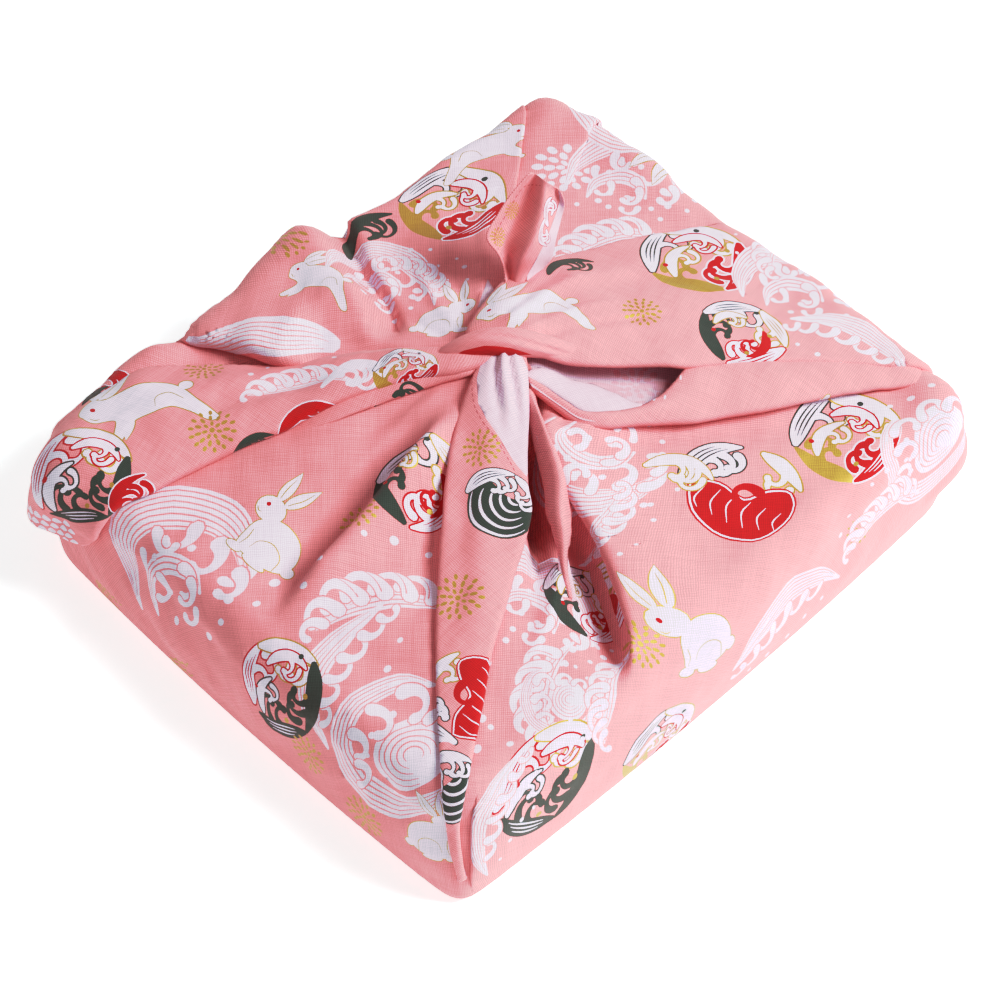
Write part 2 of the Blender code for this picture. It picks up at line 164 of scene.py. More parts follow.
def smooth_path(points, steps=6):
    """Points along a curve through the given ones (Catmull-Rom)."""
    points = np.array(points, float)
    padded = np.vstack([2 * points[0] - points[1], points, 2 * points[-1] - points[-2]])
    found = []
    for p0, p1, p2, p3 in zip(padded, padded[1:], padded[2:], padded[3:]):
        for t in np.arange(steps) / steps:
            found.append(0.5 * (2 * p1 + (p2 - p0) * t + (2 * p0 - 5 * p1 + 4 * p2 - p3) * t**2
                                + (3 * p1 - p0 - 3 * p2 + p3) * t**3))
    return np.array(found + [points[-1]])


def resample(path, step):
    """Points along a path at even steps."""
    path = np.asarray(path, float)
    s = distances(path)
    at = np.linspace(0, s[-1], max(2, int(round(s[-1] / step)) + 1))
    return columns(*[np.interp(at, s, path[:, k]) for k in range(path.shape[1])])


def beside_path(path, x, y):
    """Share of the path passed at the nearest point, the distance (left positive) and the left normal."""
    best = np.full(x.shape, np.inf)
    share, side = np.zeros(x.shape), np.zeros(x.shape)
    left_x, left_y = np.zeros(x.shape), np.zeros(x.shape)
    lengths = np.linalg.norm(np.diff(path, axis=0), axis=1)
    passed, total = 0.0, lengths.sum()
    for start, end, length in zip(path, path[1:], lengths):
        ux, uy = (end - start) / length
        along = np.clip((x - start[0]) * ux + (y - start[1]) * uy, 0, length)
        gap_x, gap_y = x - start[0] - along * ux, y - start[1] - along * uy
        gap = np.hypot(gap_x, gap_y)
        nearer = gap < best
        best = np.where(nearer, gap, best)
        share = np.where(nearer, (passed + along) / total, share)
        side = np.where(nearer, np.where(ux * gap_y - uy * gap_x >= 0, gap, -gap), side)
        left_x, left_y = np.where(nearer, -uy, left_x), np.where(nearer, ux, left_y)
        passed += length
    return share, side, left_x, left_y


# ---------------------------------------------------------------- folds
# A soft fold stands up, or sinks in if its height is below 0, and dies away over its widths to the left
# and right of its path. A lap has no width to its right: it is an edge that hangs over, high on its left,
# with the step on its right. Start and end are the shares of its length over which it comes and goes.
Fold = namedtuple("Fold", "name left right height start end path")


def table_of_folds(*rows):
    return [Fold(*row) for row in rows]


BODY_FOLDS = table_of_folds(
    ("ridge_left_of_strip", 4.5, 7, 2.2, 0.12, 0.35, ((-10, 5), (-22, 3), (-34, 0), (-48, -4), (-60, -7),
        (-74, -9), (-90, -10), (-108, -14))),
    ("valley_by_strip", 5, 5, -2.6, 0.10, 0.40, ((-16, 4.7), (-28.5, -3.2), (-39, -10.4), (-53.7, -21),
        (-68.4, -31.7), (-82, -43))),
    ("left_ridge", 9, 4.2, 7.4, 0.3, 0.3, ((-8, 9), (-16.3, 5.4), (-26.7, 3.6), (-47.6, 1.4), (-65.8, -1.9),
        (-82.2, -3.4), (-99.5, -6.6), (-112.5, -9.6))),
    ("beside_left_ridge", 3.5, 15, -4.6, 0.25, 0.3, ((-18, 10.5), (-30, 9), (-49, 7), (-66, 4), (-83, 2.5),
        (-100, -1), (-113, -4.5))),
    ("valley_gap", 4.5, 3.6, -20, 0.06, 0.45, ((12, 3), (3, -5), (-5, -15), (-13, -26), (-20, -36.5), (-28, -46),
        (-38, -54), (-48, -61))),
    ("valley_of_face_edge", 2.4, 11, -13, 0.10, 0.35, ((2, -14), (-5, -26), (-9, -35), (-12, -43), (-15, -52),
        (-18, -60), (-22, -69), (-28, -79), (-35, -88), (-43, -97), (-54, -105))),
    ("face_edge", 15, 0, 6.6, 0.12, 0.4, ((3.5, -11), (-0.5, -18), (-3.4, -24.3), (-6.9, -33.8), (-9, -43),
        (-11, -51), (-12.5, -56), (-14.2, -61), (-17.3, -68), (-23.6, -79), (-30.6, -89), (-38, -96),
        (-45, -101.5))),
    ("pleat_end", 2.4, 3.6, 2.6, 0.2, 0.5, ((-24, -48), (-31, -57), (-40, -64), (-52, -70), (-64, -73))),
    ("under_right_fold", 4, 9, -3.2, 0.15, 0.30, ((10, -27), (19, -35), (31, -42), (48.6, -52.6), (66, -63.5),
        (89.5, -74), (107, -83))),
    ("white_flap", 13, 0, 6.4, 0.32, 0.24, ((-57, 108), (-54, 101.5), (-50, 97.5), (-46.4, 93), (-43.5, 87),
        (-41.3, 79.7), (-38, 69.6), (-33.9, 62.5), (-30, 56))),
    ("behind_left_arm", 6, 7, 8, 0.25, 0.3, ((-46, 98), (-62, 103), (-80, 106), (-98, 107), (-112, 106),
        (-124, 105), (-134, 103))),
    ("flap_hollow", 2.4, 2.4, -6, 0.3, 0.35, ((-50.5, 86), (-48, 80), (-45, 74), (-42, 68), (-38, 61))),
    ("back_left_edge", 10, 10, 1.5, 0.3, 0.2, ((-60, 100), (-20, 101), (20, 101))),
    ("back_right_edge", 9, 12, 4.5, 0.2, 0.4, ((110, 102), (115, 92), (118, 70), (118, 45), (118, 10))),
    ("back_corner", 9, 9, 3, 0.4, 0.3, ((90, 78), (104, 90), (116, 99), (128, 110))),
    ("right_corner", 14, 14, 6.5, 0.35, 0.3, ((100, -82), (114, -95), (128, -108), (142, -121), (152, -130))),
    ("hump_shoulder", 9, 9, 3, 0.3, 0.3, ((-38, 66), (-27, 86), (-15, 104), (-11, 124))),
    ("hump", 18, 10, 11.4, 0.35, 0.3, ((-10, 46), (-7, 60), (-2.5, 76), (2, 90), (6, 104), (8, 124))),
    ("hump_foot", 7, 2.4, -5, 0.15, 0.25, ((-6, 44), (1, 54), (6, 64), (9, 72.4), (12, 81), (17, 91), (22, 103),
        (26, 118))),
    ("beside_hump", 3, 10, 2.4, 0.2, 0.3, ((11, 62), (13, 72), (15, 82), (20, 92), (26, 103), (30, 118))),
    ("hump_low", 3.5, 5, 1.6, 0.3, 0.3, ((-16, 47), (-9, 56), (-4, 66), (-1, 75))),
    ("back_edge", 16, 0, 1.8, 0.2, 0.2, ((72, 68), (77, 72.2), (91, 84.5), (102, 93.4), (113, 104), (124, 116))),
    ("back_second_edge", 12, 0, 1.5, 0.25, 0.25, ((88, 57), (100, 65.3), (111, 71), (122, 77), (136, 86))),
    ("left_corner_tuck", 7, 7, -2.2, 0.3, 0.2, ((-96, 38), (-112, 46), (-126, 52), (-148, 58))),
    ("left_corner_tuck_2", 4, 4, -1.2, 0.3, 0.3, ((-118, 30), (-132, 34), (-150, 36))),
    ("front_corner_lap", 10, 0, 1.6, 0.2, 0.25, ((-108, -98), (-120, -108), (-132, -119), (-144, -130))),
    ("front_rim_ridge", 3, 4, 1, 0.3, 0.35, ((-124, -44), (-129, -53), (-134, -62), (-141, -76), (-149, -88))),
    ("front_rim_dip", 5, 5, -1, 0.3, 0.35, ((-118, -58), (-126, -68), (-134, -80), (-143, -92))),
    ("long_side_sag", 24, 24, 1.8, 0.3, 0.3, ((-40, -124), (0, -128), (40, -124))),
    ("long_side_dip", 9, 9, -1.2, 0.3, 0.3, ((56, -92), (62, -112), (70, -140))),
    ("long_side_dip_2", 8, 8, -1, 0.3, 0.3, ((-14, -100), (-18, -120), (-20, -146))),
    ("short_side_dip", 9, 9, -1, 0.3, 0.3, ((-116, 4), (-134, 6), (-158, 4))),
    ("short_side_swell", 22, 22, 1.6, 0.3, 0.3, ((-138, -44), (-142, -14), (-138, 20))),
    ("back_side_dip", 8, 8, -1.4, 0.3, 0.3, ((44, 96), (46, 116), (50, 144))),
    ("back_side_swell", 20, 20, 1.8, 0.3, 0.3, ((30, 128), (60, 130), (90, 124))),
    ("far_side_swell", 20, 20, 1.6, 0.3, 0.3, ((140, -50), (144, -10), (140, 40))),
    ("far_side_dip", 8, 8, -1.4, 0.3, 0.3, ((112, 30), (130, 34), (160, 40))),
    ("right_corner_ridge", 4, 5, 1, 0.3, 0.3, ((104, -92), (118, -106), (134, -124))),
    ("far_corner_tuck", 5, 5, -1.6, 0.3, 0.2, ((108, 80), (124, 92), (142, 106))),
    ("gather_1", 1.8, 3.2, 1.1, 0.15, 0.5, ((-3, 28), (-9, 40), (-13, 54), (-18, 70))),
    ("gather_2", 1.6, 2.2, -1, 0.15, 0.5, ((4, 31), (4, 44), (6, 58))),
    ("gather_3", 1.8, 2.6, 1.2, 0.15, 0.5, ((10, 31), (14, 44), (21, 60), (30, 80))),
    ("gather_4", 2, 2.6, -1.3, 0.15, 0.5, ((16, 33), (24, 46), (36, 62))),
    ("gather_5", 2.2, 3.2, 1.2, 0.15, 0.5, ((24, 34), (36, 47), (52, 62), (70, 78))),
    ("gather_6", 1.8, 2.6, -1, 0.15, 0.5, ((30, 32), (46, 42), (66, 52))),
    ("gather_7", 1.6, 2.4, -1.2, 0.1, 0.5, ((9, -14), (12, -26), (14, -40), (18, -56))),
    ("gather_8", 2, 3, 1, 0.1, 0.5, ((7, -15), (8, -28), (7, -44), (4, -62))),
    ("gather_9", 1.8, 2.2, -1, 0.1, 0.5, ((5, -14), (3, -28), (-1, -44))),
    ("gather_10", 1.5, 2.4, 1, 0.1, 0.5, ((-12, 15), (-26, 17), (-44, 18), (-62, 17))),
    ("gather_11", 1.6, 2, -1.2, 0.1, 0.5, ((-11, 19), (-25, 22), (-42, 26), (-60, 31))),
    ("pocket", 9.5, 9, -5.6, 0.30, 0.22, ((16, -1), (24, -9), (33, -17), (43, -24), (54, -30), (66, -36))),
)
LEFT_ARM_FOLDS = table_of_folds(
    ("arm_valley", 4.5, 7, -2.2, 0.35, 0.35, ((-26, 42), (-36, 49), (-46, 56), (-58, 62), (-70, 67), (-82, 72))),
    ("arm_ridge", 4, 6, 1.4, 0.3, 0.4, ((-14, 36), (-26, 48), (-40, 60), (-58, 72), (-78, 84))),
    ("arm_dip", 5, 7, -1.5, 0.3, 0.3, ((-76, 88), (-92, 92), (-108, 98), (-124, 106))),
    ("arm_line_1", 1.2, 1.6, -0.7, 0.1, 0.5, ((0, 17), (-10, 27), (-22, 37), (-36, 46))),
    ("arm_line_2", 1.1, 1.6, 0.6, 0.1, 0.5, ((0, 20), (-8, 30), (-18, 42), (-30, 54))),
    ("arm_corner", 5, 5, 1.2, 0.3, 0.3, ((-96, 66), (-110, 76), (-122, 88), (-136, 104))),
    ("arm_corner_dip", 4, 4, -1.2, 0.3, 0.2, ((-106, 66), (-120, 76), (-132, 86), (-144, 100))),
)
RIGHT_ARM_FOLDS = table_of_folds(
    ("arm_valley", 5, 7, -1.6, 0.25, 0.4, ((16, 12), (34, 13), (52, 11), (72, 4), (92, -8))),
    ("arm_line_1", 1.3, 2, -0.9, 0.08, 0.5, ((16, 5), (28, 2), (42, -3), (58, -11), (74, -22))),
    ("arm_line_2", 1.3, 2, 0.8, 0.08, 0.5, ((16, 9), (30, 8), (46, 4), (62, -2))),
    ("arm_line_3", 1.6, 2.4, -0.8, 0.08, 0.5, ((16, 18), (30, 22), (46, 24), (62, 22))),
    ("arm_line_4", 1.6, 2.4, 0.7, 0.08, 0.5, ((14, 15), (30, 18), (50, 18), (74, 12))),
    ("arm_far_dip", 7, 7, -1.4, 0.3, 0.3, ((88, 4), (100, -14), (112, -36), (124, -56))),
)
STRIP_FOLDS = table_of_folds(
    ("fan_gather_1", 0.9, 1.5, -1.9, 0.02, 0.65, ((7, 9), (1, 4.5), (-5.5, -2.5), (-10.5, -8.5),
        (-14.5, -14))),
    ("fan_ridge_1", 1.2, 1.4, 1.2, 0.02, 0.6, ((8.2, 8), (2.5, 2.6), (-3.2, -4.2), (-8.5, -10.8), (-13, -17))),
    ("fan_gather_2", 0.9, 1.4, -1.7, 0.02, 0.6, ((9.3, 6.8), (4.2, 0.8), (-0.8, -5.8), (-6, -12.5),
        (-11, -18.5))),
    ("fan_ridge_2", 1.1, 1.2, 1, 0.02, 0.6, ((10.3, 5.8), (5.2, -0.6), (0.5, -6.8), (-5, -13.5))),
    ("strip_dip", 4, 4, -0.9, 0.2, 0.3, ((-12, 1), (-26, -10), (-42, -25), (-62, -44), (-84, -64))),
)
PATHS = {}
FOLD_STEP, LAP_STEP = 2.5, 1.8  # mm between the points of a path


def fold_path(fold):
    """The fold's curve, made once."""
    if fold not in PATHS:
        PATHS[fold] = resample(smooth_path(fold.path), FOLD_STEP)
    return PATHS[fold]


def lap_of(height, side, fall):
    """Height and sideways move over a lap: a half-round edge that hangs over by half its height."""
    radius = np.maximum(height / 2, 1e-6)
    turned = math.pi * radius
    turn = math.pi * (1 - np.clip(side / turned, 0, 1))
    beyond = np.exp(-((np.maximum(side - turned, 0) / fall) ** 2))
    on_edge = side < turned
    rise = np.where(on_edge, radius * (1 + np.cos(turn)), height * beyond)
    move = np.where(on_edge, -radius * np.sin(turn) - side, -turned * beyond)
    return np.where(side < 0, 0, rise), np.where(side < 0, 0, move)


def in_box(x, y, low, high):
    return (x > low[0]) & (x < high[0]) & (y > low[1]) & (y < high[1])


def folded(folds, x, y):
    """The height of all folds at plan places, and how far they move the cloth sideways."""
    height, move_x, move_y = np.zeros(x.shape), np.zeros(x.shape), np.zeros(x.shape)
    for fold in folds:
        path = fold_path(fold)
        reach = 3 * max(fold.left, fold.right)
        near = in_box(x, y, path.min(0) - reach, path.max(0) + reach)
        if not near.any():
            continue
        share, side, left_x, left_y = beside_path(path, x[near], y[near])
        ends = smooth(share / fold.start) * smooth((1 - share) / fold.end)
        if not fold.right:
            rise, move = lap_of(fold.height * ends, side, fold.left)
            move_x[near] += left_x * move
            move_y[near] += left_y * move
        else:
            width = np.where(side > 0, fold.left, fold.right)
            rise = fold.height * ends * np.exp(-((side / width) ** 2))
        height[near] += rise
    return height, move_x, move_y


# height, length, turn and phase of each wave, and how far they wander
CRUMPLE = (
    (0.30, 47, 0.4, 0.3), (0.28, 39, 1.9, 1.1), (0.22, 29, 2.7, 2), (0.18, 23, 1.2, 4.1), (0.10, 15, 0.1, 0.7),
    (0.09, 12.5, 2.2, 5.2), (0.05, 7.9, 1.5, 3.3), (0.04, 6.3, 0.8, 2.4),
)
WANDER = 6
FOOT_FADE = 14  # folds die away over this length above the foot


def crumple(x, y):
    """The slight unevenness of all cloth that isn't drawn tight."""
    height = np.zeros(x.shape)
    for high, length, turn, phase in CRUMPLE:
        along = x * math.cos(turn) + y * math.sin(turn)
        bent = along + WANDER * np.sin((x * math.sin(turn) - y * math.cos(turn)) / (length * 0.9))
        height += high * np.sin(2 * math.pi * bent / length + phase)
    return height


def cloth(x, y, lift, folds, step=0.5):
    """Points of the cloth at plan places with the sides folded out, lifted off the body by lift."""
    x, y = np.asarray(x, float), np.asarray(y, float)
    height, move_x, move_y = folded(folds, x, y)
    x, y = x + move_x, y + move_y
    rim, _ = rim_distance(np.arctan2(y - KNOT_Y, x - KNOT_X))
    clear_of_foot = smooth((rim + HEIGHT - FOOT_RADIUS - np.hypot(x - KNOT_X, y - KNOT_Y)) / FOOT_FADE)
    rise = (height + crumple(x, y)) * clear_of_foot + lift
    return base(x, y) + normals(x, y, step) * np.asarray(rise)[..., None]


# ---------------------------------------------------------------- inks
def linear(red, green, blue):
    """A linear colour from 0-255 sRGB."""
    found = []
    for value in (red, green, blue):
        value /= 255
        found.append(value / 12.92 if value <= 0.04045 else ((value + 0.055) / 1.055) ** 2.4)
    return found


GROUND, WHITE, RED, GREEN, GOLD, REVERSE, GHOST, SEAM_SHADOW = range(8)
# Red, green, blue, and whether it is metal. The reverse has the print showing through, the seam shadow is a
# painted shadow along the stitched hems, and the ghosts are the faint print of the pocket.
INKS = np.array([linear(*colour) + [metal] for *colour, metal in (
    (232, 142, 146, 0), (224, 208, 226, 0), (184, 20, 26, 0), (45, 68, 61, 0), (184, 146, 70, 1),
    (222, 186, 202, 0), (222, 168, 182, 0), (190, 100, 108, 0))])
SHOWS_THROUGH = 0.22  # how much of the print the reverse shows
BACK_INKS = INKS * SHOWS_THROUGH + INKS[REVERSE] * (1 - SHOWS_THROUGH)
BACK_INKS[:, 3] = 0


# ---------------------------------------------------------------- meshes
def placed(name, data):
    """A new object in the scene."""
    made = bpy.data.objects.new(name, data)
    bpy.context.scene.collection.objects.link(made)
    return made


def grid_points(polygon, step):
    """Places on a grid of triangles inside the polygon."""
    low, high = polygon.min(0), polygon.max(0)
    rows = np.arange(low[1] + step / 3, high[1], step * 0.866)
    cols = np.arange(low[0] + step / 3, high[0], step)
    x, y = np.meshgrid(cols, rows)
    x = x + np.where(np.arange(len(rows)) % 2, step / 2, 0)[:, None]
    x, y = x.ravel(), y.ravel()
    keep = wound(polygon, x, y)
    return columns(x[keep], y[keep])


def wound(polygon, x, y):
    """Which of the places the polygon goes round at least once, also where it crosses itself."""
    turns = np.zeros(x.shape, int)
    for (ax, ay), (bx, by) in zip(polygon, np.roll(polygon, -1, axis=0)):
        left = (bx - ax) * (y - ay) - (x - ax) * (by - ay) > 0
        turns += ((ay <= y) & (by > y) & left).astype(int) - ((ay > y) & (by <= y) & ~left).astype(int)
    return turns != 0


CDT_EPSILON = 1e-4  # mm within which two points are one
UV_PER_MM = 0.01


def triangulate(outline, prints, points):
    """Vertices and triangles of the outline with the prints in it, and the ink of each triangle.
    The prints are groups of (polygon, ink), a later one over the earlier ones."""
    polygons = [outline] + [polygon for group in prints for polygon, _ in group]
    verts, edges, count = [points], [], len(points)
    for polygon in polygons:
        number = np.arange(count, count + len(polygon))
        edges.append(columns(number, np.roll(number, -1)))
        verts.append(polygon)
        count += len(polygon)
    verts = [Vector(v) for v in np.vstack(verts).tolist()]
    found = delaunay_2d_cdt(verts, np.vstack(edges).tolist(), [], 0, CDT_EPSILON, False)
    flat = np.array([(v.x, v.y) for v in found[0]])
    triangles = np.array([list(t) for t in found[2]])
    x, y = flat[triangles].mean(axis=1).T
    inks = np.full(len(triangles), GROUND)
    for group in prints:
        corners = np.vstack([polygon for polygon, _ in group])
        near = np.flatnonzero(in_box(x, y, corners.min(0), corners.max(0)))
        for polygon, ink in group:
            at = near[in_box(x[near], y[near], polygon.min(0), polygon.max(0))]
            inks[at[wound(polygon, x[at], y[at])]] = ink
    keep = wound(outline, x, y)
    triangles, inks = triangles[keep], inks[keep]
    used = np.zeros(len(flat), bool)
    used[triangles.ravel()] = True
    number = np.cumsum(used) - 1
    return flat[used], number[triangles].tolist(), inks


def border_of(triangles):
    """The directed edges that only one triangle has."""
    edges = set()
    for a, b, c in triangles:
        for edge in ((a, b), (b, c), (c, a)):
            if edge[::-1] in edges:
                edges.remove(edge[::-1])
            else:
                edges.add(edge)
    return sorted(edges)


def skin(outline, place, step, prints=(), extra=np.zeros((0, 2)), backing=0, middle=None):
    """One layer of printed cloth: its points, triangles, inks and flat places. With a backing it gets its
    reverse on its inner side. With a middle it is turned so that its print is on top there."""
    flat, triangles, inks = triangulate(outline, prints, np.vstack([grid_points(outline, step), extra]))
    shape = place(flat[:, 0], flat[:, 1])
    colours = INKS[inks]
    normal = vertex_normals(shape, triangles)
    if middle is not None:
        x, y = middle
        corner, ahead, beside = place(*np.array([(x, y), (x + 1, y), (x, y + 1)], float).T)
        if np.cross(ahead - corner, beside - corner)[2] < 0:
            triangles, normal = [t[::-1] for t in triangles], -normal
    if backing:
        count = len(shape)
        shape = np.vstack([shape, shape - normal * backing])
        edges = border_of(triangles)
        under = [[count + v for v in reversed(t)] for t in triangles]
        rim = [[b, a, count + a, count + b] for a, b in edges]
        colours = np.vstack([colours, BACK_INKS[inks], np.repeat(INKS[GROUND][None], len(rim), axis=0)])
        flat = np.vstack([flat, flat])
        triangles = triangles + under + rim
    return shape, triangles, colours, flat


def piece_of(name, *skins):
    """One object of one or more layers, with an ink for each face, and its flat places in its UV map."""
    faces, count = [], 0
    for part in skins:
        faces += [[count + v for v in face] for face in part[1]]
        count += len(part[0])
    shape, inks, flat = [np.vstack([part[k] for part in skins]) for k in (0, 2, 3)]
    mesh = bpy.data.meshes.new(name)
    mesh.from_pydata((shape * MM).tolist(), [], faces)
    corners = np.zeros(len(mesh.loops), int)
    mesh.loops.foreach_get("vertex_index", corners)
    sides = [len(face) for face in faces]
    colours = mesh.color_attributes.new("print", "FLOAT_COLOR", "CORNER")
    colours.data.foreach_set("color", np.repeat(inks, sides, axis=0).astype(np.float32).ravel())
    uv = mesh.uv_layers.new(name="weave")
    uv.data.foreach_set("uv", (flat[corners] * UV_PER_MM).astype(np.float32).ravel())
    mesh.shade_smooth()
    return placed(name, mesh)


def vertex_normals(shape, triangles):
    faces = np.array(triangles)
    cross = np.cross(shape[faces[:, 1]] - shape[faces[:, 0]], shape[faces[:, 2]] - shape[faces[:, 0]])
    found = np.zeros(shape.shape)
    for k in range(3):
        np.add.at(found, faces[:, k], cross)
    return unit(found)


# ---------------------------------------------------------------- bands that come from the knot
Row = namedtuple("Row", "ax ay a_lift bx by b_lift crown")  # the columns of the bands' tables
LEFT_ARM = (
    (5, 17, 4, 8, 9, 4, 1), (-1, 21.1, 5, 2.2, 10.5, 6, 1), (-6.2, 29.3, 4, -6.4, 15.9, 5.5, 1.5),
    (-11.8, 39.9, 3, -15, 25, 5, 2), (-19.8, 50, 2.4, -25.4, 32.8, 4.5, 2), (-28.5, 58.6, 1.6, -37.7, 39.7, 4.5, 2),
    (-37.5, 67.4, 1.4, -55, 45.5, 4.5, 2), (-48.1, 78.3, 1.8, -71.2, 52.4, 4.5, 2.4),
    (-59, 90, 3.2, -88.2, 57.2, 4.5, 3), (-72, 99, 4.4, -102.1, 60, 4.5, 3.4),
    (-88, 106, 4.4, -111.2, 63.6, 5, 3.6), (-103, 112, 4.6, -117.2, 66, 5, 3.6),
    (-116, 117, 5, -122.3, 67.5, 5, 3.4), (-126, 120, 5.6, -127, 70, 5, 3.2), (-134, 122, 6.4, -132, 73.5, 5, 3.2),
    (-140, 124, 7, -136, 78, 5, 3.2),
)
LEFT_UNDER = (
    (6, 16, 3, 9, 11, 3, 0.3), (2.8, 14, 3, 3.8, 11.2, 3.5, 0.3), (-4, 17.9, 2.8, -3.8, 12.4, 3.2, 0.6),
    (-11.2, 24.7, 2.6, -12.7, 19.3, 2.8, 0.8), (-17.8, 32.3, 2.4, -21.6, 24.3, 2.2, 1),
    (-26.6, 39.1, 2, -30.5, 28.9, 1.3, 1), (-37.9, 45.1, 1.2, -43.6, 34.4, 0.2, 0.8),
    (-50, 49.3, 0.2, -54.8, 41, -0.8, 0.4), (-58, 52.5, -1, -61, 46.5, -1.4, 0.1),
)
RIGHT_ARM = (
    (4, 20, 4, 10, 5, 6, 2), (9.6, 24.4, 4.5, 15.3, 1, 7, 2), (26.1, 31.5, 4.5, 20.4, -3.7, 6.5, 3),
    (39.5, 34.7, 4.5, 26.4, -9.4, 6.5, 3.6), (52, 33.1, 4.5, 34.5, -15.5, 6.5, 4),
    (65.8, 29.7, 4.2, 44, -22.8, 6.5, 3.6), (81.4, 25.4, 3.6, 54.1, -31.8, 6.5, 3.2),
    (96.2, 20.2, 2.6, 66.3, -38.8, 6.5, 2.8), (110.4, 14, 1.4, 79.2, -48, 6.2, 1.8),
    (122, 9, 0.6, 91.3, -57.7, 5.6, 1), (131, 4, 0.3, 101.9, -66.8, 5, 0.6), (139, 0, 0.1, 111.3, -75.6, 4.6, 0.5),
    (146, -4, 0.1, 121, -84, 4.2, 0.5), (152, -7, 0.4, 132, -93, 3, 0.8), (158, -10, 0.2, 142, -101, 0.4, 0.4),
)
RIGHT_FOLD = (
    (7.2, -1.8, 4, 6.8, -2.9, 3.5, 0.3), (9.8, -8, 4, 8.3, -9.7, 3.5, 0.4), (11.4, -15.8, 4, 9.7, -17.8, 3.4, 0.5),
    (13.6, -22.5, 4, 11.9, -24.4, 3.4, 0.6), (19.8, -27.5, 4, 17.6, -29.8, 3.6, 0.8),
    (28.3, -31.7, 4, 26, -34.5, 3.8, 1.2), (37.2, -33.7, 4, 33.9, -39.7, 4, 1.6),
    (46.6, -33, 4, 41.6, -45.3, 4, 1.8), (57.8, -31.7, 4, 51.7, -50.4, 4, 2), (74, -37.2, 3.6, 63.9, -57.8, 4, 2),
    (89.2, -48.8, 3.2, 81.7, -66.6, 3.6, 1.8), (103.1, -61.6, 2.8, 97.4, -75.3, 3.2, 1.4),
    (114, -72, 2, 108.5, -83.2, 2.4, 1), (124, -83, 0.6, 119, -90.5, 0.8, 0.4),
)
TONGUE = (
    (8.4, -1.1, 2.6, 7, -2, 2.6, 0.1), (12.2, -1.3, 2.4, 9.2, -4.8, 3, 0.3), (16.5, -3.9, 2, 10.9, -8.7, 3, 0.5),
    (20.5, -10.8, 1.5, 12.4, -15.5, 3, 0.8), (25.5, -16.8, 1, 14.4, -22.4, 3, 1),
    (28.5, -23.1, 1, 18.2, -27.1, 3, 0.8), (30.6, -28.8, 1.5, 23.8, -30.4, 3, 0.5),
    (32.7, -31.7, 2, 29.2, -32.5, 3, 0.2),
)
FRONT_STRIP = (
    (9, 15, 4, 14, 6, 5, 1), (4.4, 11.9, 5, 11.3, 3.4, 6, 1.5), (-3, 8.9, 4, 5.6, -2.2, 5.5, 1.5),
    (-11, 5.2, 3.4, -0.5, -9.2, 5, 1.2), (-18, 1.3, 3.2, -7.5, -16.1, 4.6, 1), (-26.3, -4.3, 3, -15, -23.2, 4.4, 1),
    (-35.4, -11.5, 3, -20.4, -29.2, 4.2, 1), (-44.9, -19.7, 2.8, -25.3, -35.7, 4, 1),
    (-53.1, -26.8, 2.8, -35.6, -42.9, 4, 0.8), (-62.2, -35.3, 2.6, -44.8, -48.2, 3.8, 0.8),
    (-72.7, -45.3, 2.6, -57.3, -56.1, 3.6, 0.6), (-82.7, -55.6, 2.5, -70.1, -63.8, 3.4, 0.5),
    (-92.5, -66.1, 2.4, -83.1, -73.7, 3.2, 0.4), (-102, -76.9, 2.4, -96.1, -83.3, 3, 0.3),
    (-111.5, -88, 2.4, -107.1, -91.4, 2.8, 0.2), (-119.6, -96.5, 2.3, -115.5, -97.7, 2.6, 0.2),
    (-129.4, -106.5, 2, -126.5, -107, 2.2, 0.1), (-140, -120, 1.2, -138, -121, 1.2, 0.1),
)
PLEAT = (
    (6, -3, 1, 7, -6, 1.5, 0.5), (2.4, -8.2, 3, 3.2, -11.4, 3, 2.5), (-2, -15.4, 2.4, -0.2, -19.4, 3.6, 4),
    (-8.2, -24.6, 1.6, -3.6, -28.8, 3.6, 5.5), (-14, -33, 1.2, -8.8, -38.4, 3.2, 5.5),
    (-20.4, -40.5, 0.8, -15.6, -45.2, 2.4, 4.5), (-25.1, -48.8, 0.3, -21.7, -51.8, 1.2, 3),
    (-29.4, -56, -1.2, -27.6, -57.3, -1, 2), (-35.2, -65.6, -4, -33.6, -66.6, -4, 0.6),
)
# name: rows, the largest radius of each rolled edge, and the band's own folds
BANDS_BY_NAME = {
    "left_under": (LEFT_UNDER, 0, 1.4, ()),
    "left_arm": (LEFT_ARM, 1, 2.2, LEFT_ARM_FOLDS),
    "pleat": (PLEAT, 1.2, 1.2, ()),
    "tongue": (TONGUE, 0.4, 0.5, ()),
    "right_fold": (RIGHT_FOLD, 0.5, 2, ()),
    "right_arm": (RIGHT_ARM, 1.2, 1.8, RIGHT_ARM_FOLDS),
    "front_strip": (FRONT_STRIP, 1.6, 1.8, STRIP_FOLDS),
}
LIP_RUN, LEAST_LIP = 3, 0.25  # how far the cloth runs back under a rolled edge, and the least radius of one
NORMAL_STEP = 2.5  # a band stands on the body's slope over this length


